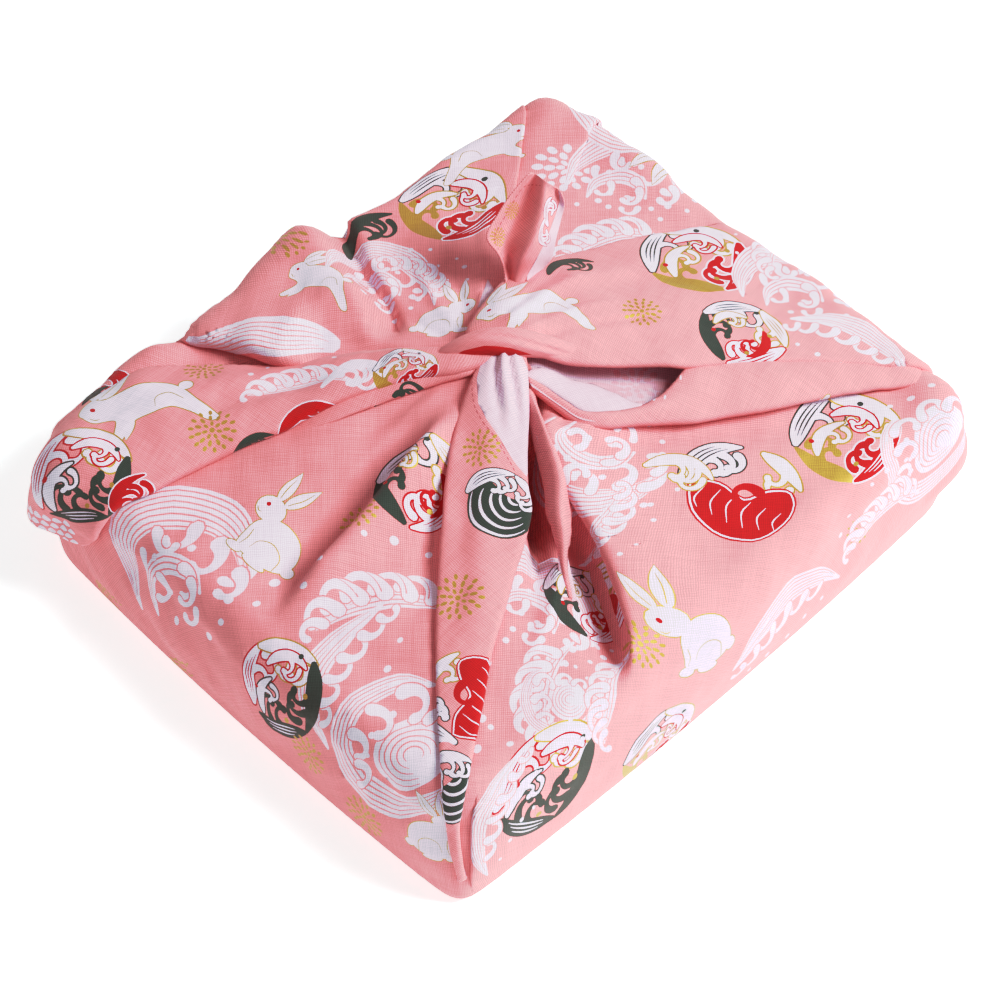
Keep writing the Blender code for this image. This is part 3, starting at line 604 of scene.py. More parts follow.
class Band:
    """A band of cloth over the body. Its plan is millimetres along it and across it from its middle."""

    def __init__(self, rows, lip_a, lip_b, folds):
        self.table = smooth_path(rows, steps=10)
        self.folds, self.lips = folds, (lip_a, lip_b)
        self.s = distances((self.table[:, 0:2] + self.table[:, 3:5]) / 2)

    def row(self, s):
        return Row(*[np.interp(s, self.s, self.table[:, k]) for k in range(7)])

    def lip_radius(self, row, which):
        """A rolled edge comes down to what it lies on, but it is never more than its lip's radius."""
        lift = row.a_lift if which == 0 else row.b_lift
        return np.clip(lift / 2, LEAST_LIP, max(self.lips[which], LEAST_LIP))

    def place(self, s, c):
        row = self.row(s)
        width = np.maximum(np.hypot(row.bx - row.ax, row.by - row.ay), 1e-3)
        inner = np.clip(0.5 + c / width, 0, 1)
        x = row.ax + (row.bx - row.ax) * inner
        y = row.ay + (row.by - row.ay) * inner
        lift = row.a_lift + (row.b_lift - row.a_lift) * inner + row.crown * np.sin(math.pi * inner)
        for which, over in ((0, -c - width / 2), (1, c - width / 2)):
            over = np.maximum(over, 0)
            radius = self.lip_radius(row, which)
            turn = np.clip(over / radius, 0, math.pi)
            back = np.maximum(over - math.pi * radius, 0)
            out = (radius * np.sin(turn) - back) * (1 if which else -1)
            x = x + out * (row.bx - row.ax) / width
            y = y + out * (row.by - row.ay) / width
            lift = lift - radius * (1 - np.cos(turn))
        return cloth(x, y, lift, self.folds, NORMAL_STEP)

    def outline(self, step=1.5):
        s = np.linspace(0, self.s[-1], int(self.s[-1] / step) + 2)
        row = self.row(s)
        half = np.hypot(row.bx - row.ax, row.by - row.ay) / 2
        reach = [math.pi * self.lip_radius(row, k) + LIP_RUN if self.lips[k] else 0 * s for k in (0, 1)]
        return np.vstack([columns(s, -half - reach[0]), columns(s, half + reach[1])[::-1]])


# ---------------------------------------------------------------- knot and tail
# x, y, z, half width and half height
KNOT = (
    (-11, 28, 62.5, 1, 1), (-5, 23.5, 69.6, 2.4, 2.4), (0, 19, 73.8, 3.8, 3.6), (5, 14.5, 75.9, 4.7, 4.4),
    (9, 10.5, 76.5, 5, 4.6), (13.5, 6, 75.8, 5, 4.4), (19, 1.2, 73.6, 4.4, 3.8), (26, -4, 69.8, 3.6, 3),
    (35, -9.5, 64.4, 2.8, 2), (46, -15, 58.8, 1.6, 1),
)
KNOT_FOLDS = table_of_folds(
    ("upper", 1, 1.8, -1.1, 0.15, 0.2, ((8, -6.5), (20, -5.5), (34, -4.5), (50, -4), (64, -4))),
    ("middle", 1.6, 0.9, -0.9, 0.2, 0.25, ((24, 1), (34, 2), (44, 4.5), (56, 7))),
    ("ridge", 1.4, 1.4, 0.5, 0.2, 0.25, ((14, 2.5), (28, 3.5), (40, 6), (52, 8))),
    ("line", 0.7, 0.9, -0.5, 0.2, 0.3, ((12, -2.5), (26, -1.5), (40, -0.5), (60, 1))),
)
ROLL_RADIUS = 6.5


class Roll:
    """The roll of cloth across the knot. Its plan is millimetres along it and round it from its top."""

    def __init__(self, rows):
        table = smooth_path(rows, steps=8)
        self.s = distances(table[:, :3])
        along = unit(np.gradient(table[:, :3], axis=0))
        side = unit(np.cross(along, [0, 0, 1]))
        self.frame = np.hstack([table, side, np.cross(side, along)])
        self.girth = 2 * math.pi * ROLL_RADIUS

    def place(self, s, c):
        col = [np.interp(s, self.s, self.frame[:, k]) for k in range(11)]
        turn = c / self.girth * 2 * math.pi
        out = 1 + folded(KNOT_FOLDS, s, c)[0] / 5
        across, rise = np.sin(turn) * col[3] * out, np.cos(turn) * col[4] * out
        return columns(*[col[k] + across * col[5 + k] + rise * col[8 + k] for k in range(3)])

    def outline(self):
        half = self.girth / 2
        s = np.linspace(0, self.s[-1], 40)
        return np.vstack([columns(s, s * 0 - half), columns(s, s * 0 + half)[::-1]])


class Sheet:
    """A free piece of cloth through rows of points. Its plan is millimetres across it and up it."""

    def __init__(self, rows, steps=8):
        grid = smooth_path([np.ravel(row) for row in rows], steps).reshape(-1, len(rows[0]), 3)
        self.grid = grid = np.array([smooth_path(row, steps) for row in grid])
        self.up = np.linalg.norm(np.diff(grid, axis=0), axis=2).mean(1).sum()
        self.across = np.linalg.norm(np.diff(grid, axis=1), axis=2).sum(1).max()

    def place(self, x, y):
        rows, cols = self.grid.shape[:2]
        i = np.clip(y / self.up, 0, 1) * (rows - 1)
        j = np.clip(x / self.across, 0, 1) * (cols - 1)
        i0, j0 = np.minimum(i.astype(int), rows - 2), np.minimum(j.astype(int), cols - 2)
        fi, fj = (i - i0)[..., None], (j - j0)[..., None]
        g = self.grid
        return ((g[i0, j0] * (1 - fj) + g[i0, j0 + 1] * fj) * (1 - fi)
                + (g[i0 + 1, j0] * (1 - fj) + g[i0 + 1, j0 + 1] * fj) * fi)

    def outline(self):
        corners = ((0, 0), (self.across, 0), (self.across, self.up), (0, self.up), (0, 0))
        return resample(corners, 1.0)[:-1]


TAIL = (  # rows from the foot to the tip: hemmed edge, hollow, fold, two of the outer face, and where it turns back
    ((24, 24, 60), (25, 23.5, 59), (26, 21, 61), (29, 19, 61), (33.4, 19, 60), (36.8, 19.5, 59)),
    ((34.5, 34, 68), (36.1, 33.7, 66), (36.3, 31, 68), (39, 28.9, 68), (43.4, 29, 66), (46.8, 29.5, 64)),
    ((35.4, 38.2, 76), (38.8, 36.8, 72), (38.8, 31.2, 77), (43.2, 29.4, 76), (48.9, 29.4, 73), (51, 28.6, 70)),
    ((34.4, 43, 82), (41.1, 40.2, 77), (43.3, 31.1, 83), (47, 30, 82), (51.8, 30.4, 79), (53.9, 29.7, 76)),
    ((41.4, 44.9, 86), (47.7, 42.6, 81), (49.7, 34.2, 87), (52.8, 33.1, 86), (56.2, 33.1, 83), (58.6, 32, 81)),
    ((48.9, 45.8, 90), (53.9, 44.2, 86), (54.7, 37.5, 91), (57, 35.9, 90), (60, 35, 87), (60.5, 32.6, 86)),
    ((57.3, 45.7, 94), (59.5, 45.6, 92), (58.2, 41, 94), (58.3, 38.3, 94), (60, 36.1, 92), (60.2, 34, 91)),
)


# ---------------------------------------------------------------- print
# A motif is a list of (polygon, ink) in millimetres about its middle, drawn in order.
EDGE, HARE_EDGE = 0.45, 0.42  # mm of line round a shape


def spread(values, count):
    """Values spread evenly over a number of points."""
    return np.interp(np.linspace(0, 1, count), np.linspace(0, 1, len(values)), values)


def stroke(path, widths, caps=True):
    """The outline of a line along the path, with its widths spread along it and round ends."""
    path = np.asarray(path, float)
    half = spread(widths, len(path))[:, None] / 2
    along, left = directions(path)
    turns = np.linspace(0, math.pi, 5)[1:-1, None] if caps else np.zeros((0, 1))
    end, start = [path[k] + way * half[k] * (left[k] * np.cos(turns) + along[k] * np.sin(turns))
                  for k, way in ((-1, 1), (0, -1))]
    return np.vstack([path + left * half, end, (path - left * half)[::-1], start])


def line(points, widths):
    return stroke(smooth_path(points, 4), widths)


def turned(points, angle):
    angle = math.radians(angle)
    x, y = np.asarray(points, float).T
    return columns(x * math.cos(angle) - y * math.sin(angle), x * math.sin(angle) + y * math.cos(angle))


def oval(x, y, long, wide, angle=0.0, count=12):
    turn = np.linspace(0, 2 * math.pi, count, endpoint=False)
    return np.array([x, y]) + turned(columns(np.cos(turn) * long, np.sin(turn) * wide), angle)


def blob(points, grown=0.0):
    """A smooth closed outline through the points, grown outwards by a distance."""
    points = np.array(points, float)
    ring = smooth_path(np.vstack([points[-1:], points, points[:1]]), 4)[4:-1]
    if grown:
        along = unit(np.roll(ring, -1, axis=0) - np.roll(ring, 1, axis=0))
        area = (ring[:, 0] * np.roll(ring[:, 1], -1) - ring[:, 1] * np.roll(ring[:, 0], -1)).sum()
        ring = ring + columns(along[:, 1], -along[:, 0]) * grown * (1 if area > 0 else -1)
    return ring


def claw(x, y, heading, length, turn, root, tip, grown=0.0, count=13):
    """A wave's finger that curls up towards its end: thick at its root, thin at its neck, with a round tip."""
    t = np.linspace(0, 1, count)
    angle = (np.radians(heading) + np.radians(turn) * t**1.45)[1:]
    steps = columns(np.cos(angle), np.sin(angle)) * (length / (count - 1))
    path = np.array([x, y]) + np.vstack([[0, 0], np.cumsum(steps, axis=0)])
    bulb = np.exp(-(((1 - t) * length) / (1.1 * tip)) ** 2)
    return stroke(path, root * (1 - t) ** 1.8 + tip * 0.62 * t**0.5 + tip * 0.75 * bulb + 2 * grown)


def ribbon(points, widths, lines, steps=4):
    """A band of water with thin lines along it, at shares of its half width."""
    path = smooth_path(points, steps)
    half, left = spread(widths, len(path)) / 2, directions(path)[1]
    found = [(stroke(path, widths), WHITE)]
    for k, share in enumerate(lines):
        inner = path + left * (half * share)[:, None]
        found.append((stroke(inner[1 + k % 3:len(inner) - 1 - k % 3 * 2], (0.2, 0.5, 0.5, 0.2)), GROUND))
    return found


def fingers(*rows):
    """Curling fingers, each over the last with a line round it."""
    return [(claw(*row, grown), ink) for row in rows for grown, ink in ((EDGE, GROUND), (0, WHITE))]


def dots(*places):
    return [(oval(x, y, r, r), WHITE) for x, y, r in places]


def crest(x, y, radius, start, sweep, band, count, length, fill, edge=None, cut=None):
    """A crescent of wave with lines in it, and fingers that curl in from it. Edge and lines can be left out."""
    sign = 1 if sweep > 0 else -1
    angle = np.radians(start + sweep * np.linspace(0, 1, 14))
    swollen = np.sin(math.pi * np.linspace(0.04, 0.96, 14) ** 0.8) ** 0.7
    spoke = columns(np.cos(angle), np.sin(angle))
    middle = np.array([x, y])
    arc = middle + spoke * (radius - band / 2 * swollen)[:, None]
    rows = []
    for k in range(count):
        at = math.radians(start + sweep * (0.2 + 0.8 * (k + 1) / count))
        root = middle + np.array([math.cos(at), math.sin(at)]) * (radius - band * 0.75)
        rows.append((*root, math.degrees(at) + sign * 120, length * (0.9 + 0.2 * (k % 2)), sign * 172,
                     band * 0.48, band * 0.32))
    found = []
    for grown, ink in ((EDGE, edge), (0, fill)):
        if ink is not None:
            found.append((stroke(arc, band * swollen + 2 * grown), ink))
            found += [(claw(*row, grown), ink) for row in rows]
    for k, share in enumerate((-0.5, 0.0, 0.5) if cut is not None else ()):
        inner = middle + spoke * (radius - band * swollen * (0.5 - 0.45 * share))[:, None]
        found.append((stroke(inner[2 + k // 2:-2 - k], (0.15, 0.42, 0.42, 0.15)), cut))
    return found


# The shapes of a hare are functions of how far they are grown
def leaf(x, y, heading, length, wide):
    """A pointed leaf or ear from its root."""
    t = np.linspace(0, 1, 10)
    half = wide / 2 * np.sin(math.pi * t**0.75) ** 0.9
    side = np.vstack([columns(t * length, half), columns(t * length, -half)[::-1][1:-1]])
    return lambda g: np.array([x, y]) + turned(side * np.array([1 + 2 * g / length, 1 + 2 * g / wide])
                                              - np.array([g, 0]), heading)


def spot(x, y, long, wide, angle=0.0):
    return lambda g: oval(x, y, long + g, wide + g, angle, 16)


def trunk(*points):
    return lambda g: blob(points, g)


def hare(eye, lines, *shapes):
    """A white hare with a gold line round it, gold lines in it and a red eye."""
    found = [(shape(grown), ink) for grown, ink in ((HARE_EDGE, GOLD), (0, WHITE)) for shape in shapes]
    return found + [(line(points, (0.35, 0.45, 0.2)), GOLD) for points in lines] + [(oval(*eye), RED)]


def flower(ink, corners, rings):
    """Ovals in rings. A ring is how many, how far out, their two half sizes, and its turn in steps and degrees."""
    found = []
    for count, out, long, wide, shift, turn in rings:
        for k in range(count):
            angle = 360 * (k + shift) / count + turn
            x, y = out * math.cos(math.radians(angle)), out * math.sin(math.radians(angle))
            found.append((oval(x, y, long, wide, angle, corners), ink))
    return found


def sprig():
    """A spray of gold grass with small leaves."""
    found = []
    for bend, side in ((0.0, 0), (0.16, 3.2), (-0.14, -3.0)):
        path = smooth_path(((-7, side * 0.4), (-2, side * 0.8 + bend * 4), (3, side + bend * 12),
                            (7.5, side * 1.2 + bend * 26)), 4)
        found.append((stroke(path, (0.7, 0.6, 0.3)), GOLD))
        for k, (x, y) in enumerate(path[2::2]):
            sign = 1 if k % 2 else -1
            found.append((oval(x, y + sign * 0.9, 0.95, 0.45, sign * 42, 8), GOLD))
    return found


def scales(rows=5, count=6):
    """Rows of loose fish scales, as on a calm sea."""
    found = []
    for row in range(rows):
        for k in range(count):
            x, y = (k - count / 2 + 0.5 * (row % 2)) * 5.4, (row - rows / 2) * 3.1
            found.append((blob(((x - 2.4, y - 0.6), (x, y + 1.3), (x + 2.4, y - 0.6), (x, y - 1.35))), WHITE))
    return found


def whorl_arcs():
    """A white disc with arcs one in the other."""
    found = [(oval(2, -4, 12.5, 10.8, 20, 30), WHITE)]
    for out, start, sweep in ((11, 60, 215), (9.0, 35, 240), (7.0, 10, 255), (5.0, -10, 260), (3.0, -30, 250)):
        angle = np.radians(start + sweep * np.linspace(0, 1, 16))
        arc = columns(3 + out * np.cos(angle), -4.6 + out * 0.85 * np.sin(angle))
        found.append((stroke(arc, (0.2, 0.55, 0.55, 0.25)), GROUND))
    return found


def roundel(*crests):
    """A round medallion of crests with a little spray."""
    return sum((crest(*row) for row in crests), []) + [(oval(x, y, r, r), ink) for x, y, r, ink in (
        (6.5, 9.5, 0.8, GREEN), (8.5, -1, 0.8, GOLD), (-9, 1, 0.7, RED), (0, -8.5, 0.8, GOLD))]


def half_moon():
    """A round wave in red with fine lines, over white crests with green and gold edges."""
    found = crest(-3, 2, 12, 200, -110, 5.0, 3, 8.5, WHITE, GREEN, GREEN)
    found += crest(4, 3, 11, 96, -80, 4.0, 2, 8.0, WHITE, GOLD)
    wave = (-11, -1), (-8, -9), (0, -13), (9, -11), (14, -3), (12, 4), (7, 2.5), (2, -2), (-5, 0)
    found += [(blob(wave, grown), ink) for grown, ink in ((0.9, RED), (0.45, WHITE), (0, RED))]
    for k in range(6):
        x = -9 + 3.9 * k
        points = (x + 1, -1.5 - abs(k - 1) * 0.2), (x - 0.2, -5.5), (x + 1.2, -10 + abs(k - 2.5) * 0.9)
        found.append((line(points, (0.15, 0.42, 0.15)), WHITE))
    return found + [(claw(5, 1.5, 150, 10, 172, 3.0, 1.8), RED)]


def green_moon():
    """A round wave in white and green bands."""
    found = [(oval(0.6, -1.2, 13.4, 13.4, 0, 30), GREEN)]
    for k in range(5):
        angle = np.radians(np.linspace(162 - 6 * k, 318 - 4 * k, 20))
        out = 12.2 - 2.3 * k
        arc = columns(0.6 + out * np.cos(angle) + 0.9 * k, -1.2 + out * np.sin(angle) + 0.9 * k)
        found.append((stroke(arc, (0.2, 1.0, 1.1, 0.9, 0.2)), WHITE))
    found.append((blob(((-4, 6), (2, 2), (9, 2), (14, 0), (14, 10), (7, 14.5), (-3, 14.5), (-9, 11))), GROUND))
    return (found + crest(0, 0, 14, 168, -86, 4.6, 3, 9.0, WHITE, GREEN, GREEN)
            + crest(0, 0, 14, 76, -78, 4.2, 3, 8.5, WHITE, GREEN))


def claws(ink, edge=None, cut=None):
    """A short crescent with fingers."""
    return crest(0, -9, 12, 160, -130, 4.6, 4, 10.0, ink, edge, cut)


PETALS = ((6, 2.1, 1.2, 0.8, 0, 0), (9, 4.9, 1.5, 1.1, 0.5, 0), (12, 8, 1.6, 1.25, 0.5, 11))
MOTIFS = {
    "hare_leaping": hare(
        (15.6, 2.6, 0.85, 0.85),
        (((11.2, 8), (6, 12.5), (2.5, 15.5)), ((14.2, 9), (10.5, 14), (9, 17)),
         ((-15.5, -2), (-11, 2.2), (-6, 1), (-5, -3.5)), ((17.5, -1), (16, -1.9), (14.6, -1.6))),
        leaf(12.5, 6.5, 138, 17, 5.6), leaf(14.5, 6.6, 118, 15, 5),
        trunk((20, 1), (19, 4.5), (15, 7.2), (11, 6), (6, 7.5), (-2, 9.5), (-10, 8), (-16, 3), (-20, -3),
              (-25, -8.5), (-27, -12), (-23.5, -12.5), (-17, -8), (-11, -5), (-4, -5.5), (3, -6.5), (8, -11),
              (12, -14), (14.5, -13.2), (12, -9.5), (10, -5), (13, -3.5), (17.5, -3)),
        spot(-17.5, 4.5, 2.6, 2.3), leaf(4, -4, -62, 11, 4)),
    "hare_sitting": hare(
        (10.4, 10.6, 0.9, 0.9),
        (((4.2, 15), (1.6, 20), (0.3, 25)), ((8.8, 15.5), (9.6, 20), (9.9, 25)),
         ((-11, -9.5), (-9.5, -3.5), (-4, -1), (1, -3.5), (2, -8)), ((12.8, 7.2), (11.6, 6.2), (10, 6.2)),
         ((6.2, -1.5), (5.4, -5.5), (6, -9.5))),
        leaf(5, 13, 112, 16, 5.2), leaf(8.5, 13.5, 84, 15.5, 4.8),
        trunk((5, 6), (-2, 8.5), (-10, 6.5), (-14.5, 0), (-14, -7), (-8, -11), (2, -11.5), (7, -10), (8.2, -4),
              (8, 2)),
        spot(8, 9.4, 6.6, 5.4, 12), spot(-15.2, -5.5, 2.7, 2.5), spot(7, -11.4, 3.8, 1.7, 4),
        spot(-4, -12, 5.4, 1.7)),
    "burst": [(oval(0, 0, 0.7, 0.7), GOLD)] + flower(GOLD, 8, (
        (7, 1.9, 0.75, 0.45, 0.4, 0), (11, 3.7, 0.95, 0.5, 0.4, 0), (14, 5.5, 0.8, 0.5, 0, 0))),
    "petals": flower(WHITE, 10, PETALS),
    "ghost_flower": flower(GHOST, 10, PETALS),
    "sprig": sprig(),
    "scales": scales(),
    # A tall breaking wave: a broad band that sweeps up and over, fingers, and spray
    "breaker": (
        ribbon(((-12, -19), (-18, -9), (-17.5, 2), (-11, 11), (0, 15), (10, 13), (17, 7.5)),
               (1, 7, 11, 12, 10, 6, 1.2), (0.78, 0.5, 0.22, -0.06, -0.34, -0.62, -0.86))
        + fingers((6, 10, -18, 14, -176, 4.2, 2.2), (12, 12, 4, 15, -176, 4, 2.2), (-2, 10, -48, 12, -170, 3.8, 2),
                  (-9, 4, -75, 11, 168, 3.4, 1.8), (-11, -4, -66, 12, 172, 3.2, 1.8), (16, 7, -12, 12, -176, 3.4, 2))
        + ribbon(((-3, -17), (-6, -9), (-2, -2), (6, 0), (12, -3)), (0.8, 4.5, 6.5, 5, 1), (0.55, 0.05, -0.5))
        + fingers((4, 0, 6, 12, -172, 3.2, 1.8), (8, -2, -30, 11, -172, 3, 1.7), (-2, -6, -24, 10, -165, 2.8, 1.6),
                  (13, -8, -60, 9, -168, 2.6, 1.6))
        + dots((2, 5.5, 1.1), (-6, -2.5, 1.1), (1, -9.5, 1.2), (20, 0, 1.3), (22, -6, 1), (24, 10, 1.2),
               (19, -13, 1.2), (11, 19, 1.1), (26, 3.5, 0.9), (5.5, -15, 1.1), (21, 15, 0.8))),
    # A comb of curling fingers, each with a line round it
    "curls": (
        ribbon(((21, -11), (11, -5.5), (0, -3.8), (-11, -5.5), (-20, -10)), (0.8, 5, 7, 5, 1), (0.6, 0.1, -0.4))
        + fingers((15, -6, 74, 17, 172, 4.4, 2.3), (9, -3.5, 88, 18, 175, 4.7, 2.4), (2, -2, 101, 19, 176, 4.9, 2.5),
                  (-5, -2.5, 114, 18, 176, 4.7, 2.4), (-12, -5, 129, 15, 172, 4.3, 2.2),
                  (-17, -8.5, 148, 11, 168, 3.6, 2))
        + [(claw(*row, 60, 0.5, 0.3), GROUND) for row in (
            (14, -5, 72, 8), (8, -2.5, 86, 9), (1, -1, 99, 9.5), (-6, -1.5, 112, 8.5))]
        + dots((-21, 3, 1.2), (-15, 10, 1), (-6, 0.5, 0.9), (7, 14.5, 1.3), (16, 10, 1.1), (-1, 15.5, 0.9),
               (22, 3, 1))),
    # A big round wave of arcs one in the other
    "whorl": (
        ribbon(((17, -14), (6, -20), (-8, -19), (-18, -9), (-20, 4), (-12, 15), (0, 18), (10, 14)),
               (0.8, 6, 8.5, 8.5, 8, 7, 5, 1.2), (0.7, 0.35, 0, -0.35, -0.7))
        + whorl_arcs()
        + fingers((-15, 6, -20, 12, -170, 3.8, 2.1), (-8, 12, -8, 14, -176, 4.2, 2.3),
                  (1, 15, 6, 15, -178, 4.2, 2.4), (-16, -4, -35, 10, -165, 3.4, 1.9), (8, 5, 30, 13, -178, 3.6, 2.1),
                  (13, -2, 0, 11, -172, 3, 1.8))
        + dots((-9, 4, 1.1), (-2, 9.5, 1.2), (19, 8, 1.3), (17, 15, 1), (23, 1, 1.1), (21, -7, 1.2),
               (-12, -1.5, 0.9))),
    # Long bands of water side by side, with fingers along one side
    "streams": (
        ribbon(((-30, -9), (-17, 1), (-3, 5.5), (11, 3.5), (26, -5)), (1, 8, 11, 9, 1.2),
               (0.75, 0.45, 0.15, -0.15, -0.45, -0.75))
        + fingers((-20, -5, -62, 11, 168, 3.2, 1.9), (-12, -2.5, -74, 13, 172, 3.8, 2.1),
                  (-3, -0.5, -82, 15, 174, 4.2, 2.3), (6, -1, -92, 14, 172, 4, 2.2),
                  (15, -3.5, -100, 12, 170, 3.6, 2), (22, -6.5, -112, 9, 165, 3, 1.8))
        + dots((-13, -15, 1.1), (-4, -18, 1.2), (7, -18.5, 1.3), (17, -17.5, 1), (1, -23, 0.9), (-22, -13, 0.9))),
    "roundel_a": roundel(
        (0, 0, 14, 196, -78, 4.6, 2, 9, WHITE, RED, RED), (0, 0, 14, 118, -84, 4.4, 3, 9.5, WHITE, GOLD),
        (0, 0, 14, 36, -96, 5.4, 3, 9.5, GREEN), (0, 0, 14, 296, -86, 4.8, 3, 9, GREEN, None, WHITE),
        (-3, -4, 7.5, 200, -110, 3, 2, 6, WHITE, GREEN), (2, 4, 7, 150, -130, 3, 2, 6.5, WHITE, RED)),
    "roundel_b": roundel(
        (0, 0, 14, 176, -88, 4.6, 2, 9, WHITE, GREEN, GREEN), (0, 0, 14, 92, -90, 4.4, 3, 9.5, WHITE, GOLD),
        (0, 0, 14, 262, -80, 5, 2, 8.5, GOLD), (0, 0, 14, 0, -92, 5, 3, 9, RED, WHITE, WHITE),
        (-2, -2, 7.5, 190, -120, 3, 2, 6, WHITE, GOLD), (2, 3, 6.5, 120, -140, 2.8, 2, 6, WHITE, RED)),
    "roundel_c": roundel(
        (0, 0, 14, 232, -96, 5.2, 3, 9, GREEN), (0, 0, 14, 140, -88, 4.6, 2, 9, WHITE, GREEN, GREEN),
        (0, 0, 14, 50, -72, 4.4, 2, 8.5, WHITE, GOLD, GOLD), (0, 0, 14, -30, -88, 4.8, 3, 9, WHITE, RED, RED),
        (1, -3, 7.5, 30, -130, 3.2, 2, 6.5, RED), (-2, 3, 6.5, 170, -130, 2.8, 2, 6, WHITE, GOLD)),
    "half_moon": half_moon(),
    "green_moon": green_moon(),
    "green_claws": claws(GREEN),
    "red_claws": claws(RED, WHITE),
    "red_hooks": claws(WHITE, RED, RED),
    "white_claws": claws(WHITE, GOLD),
    "white_hooks": claws(WHITE),
    "ghost_claws": claws(GHOST),
    "wave_back": ribbon(((-24, -3), (-9, 1), (8, 2), (24, -2)), (6, 12, 13, 7),
                        (-0.62, -0.36, -0.1, 0.16, 0.42, 0.68), steps=14),
}
MOST_STRETCH = 1.6


def stamped(prints, place):
    """The prints' polygons in a piece's plan, each kept in shape where the plan is stretched."""
    found = []
    for motif, x, y, angle, size in prints:
        centre, right, up = place(np.array([x, x + 1, x]), np.array([y, y, y + 1]))
        _, upper = np.linalg.qr(columns(right - centre, up - centre))
        back = np.linalg.inv(upper * np.sign(np.diag(upper))[:, None])
        stretch = np.linalg.norm(back, 2)
        if stretch > MOST_STRETCH:
            back = back * MOST_STRETCH / stretch
        scale = np.array([size, abs(size)])
        found.append([(turned(polygon * scale, angle) @ back.T + np.array([x, y]), ink)
                      for polygon, ink in MOTIFS[motif]])
    return found


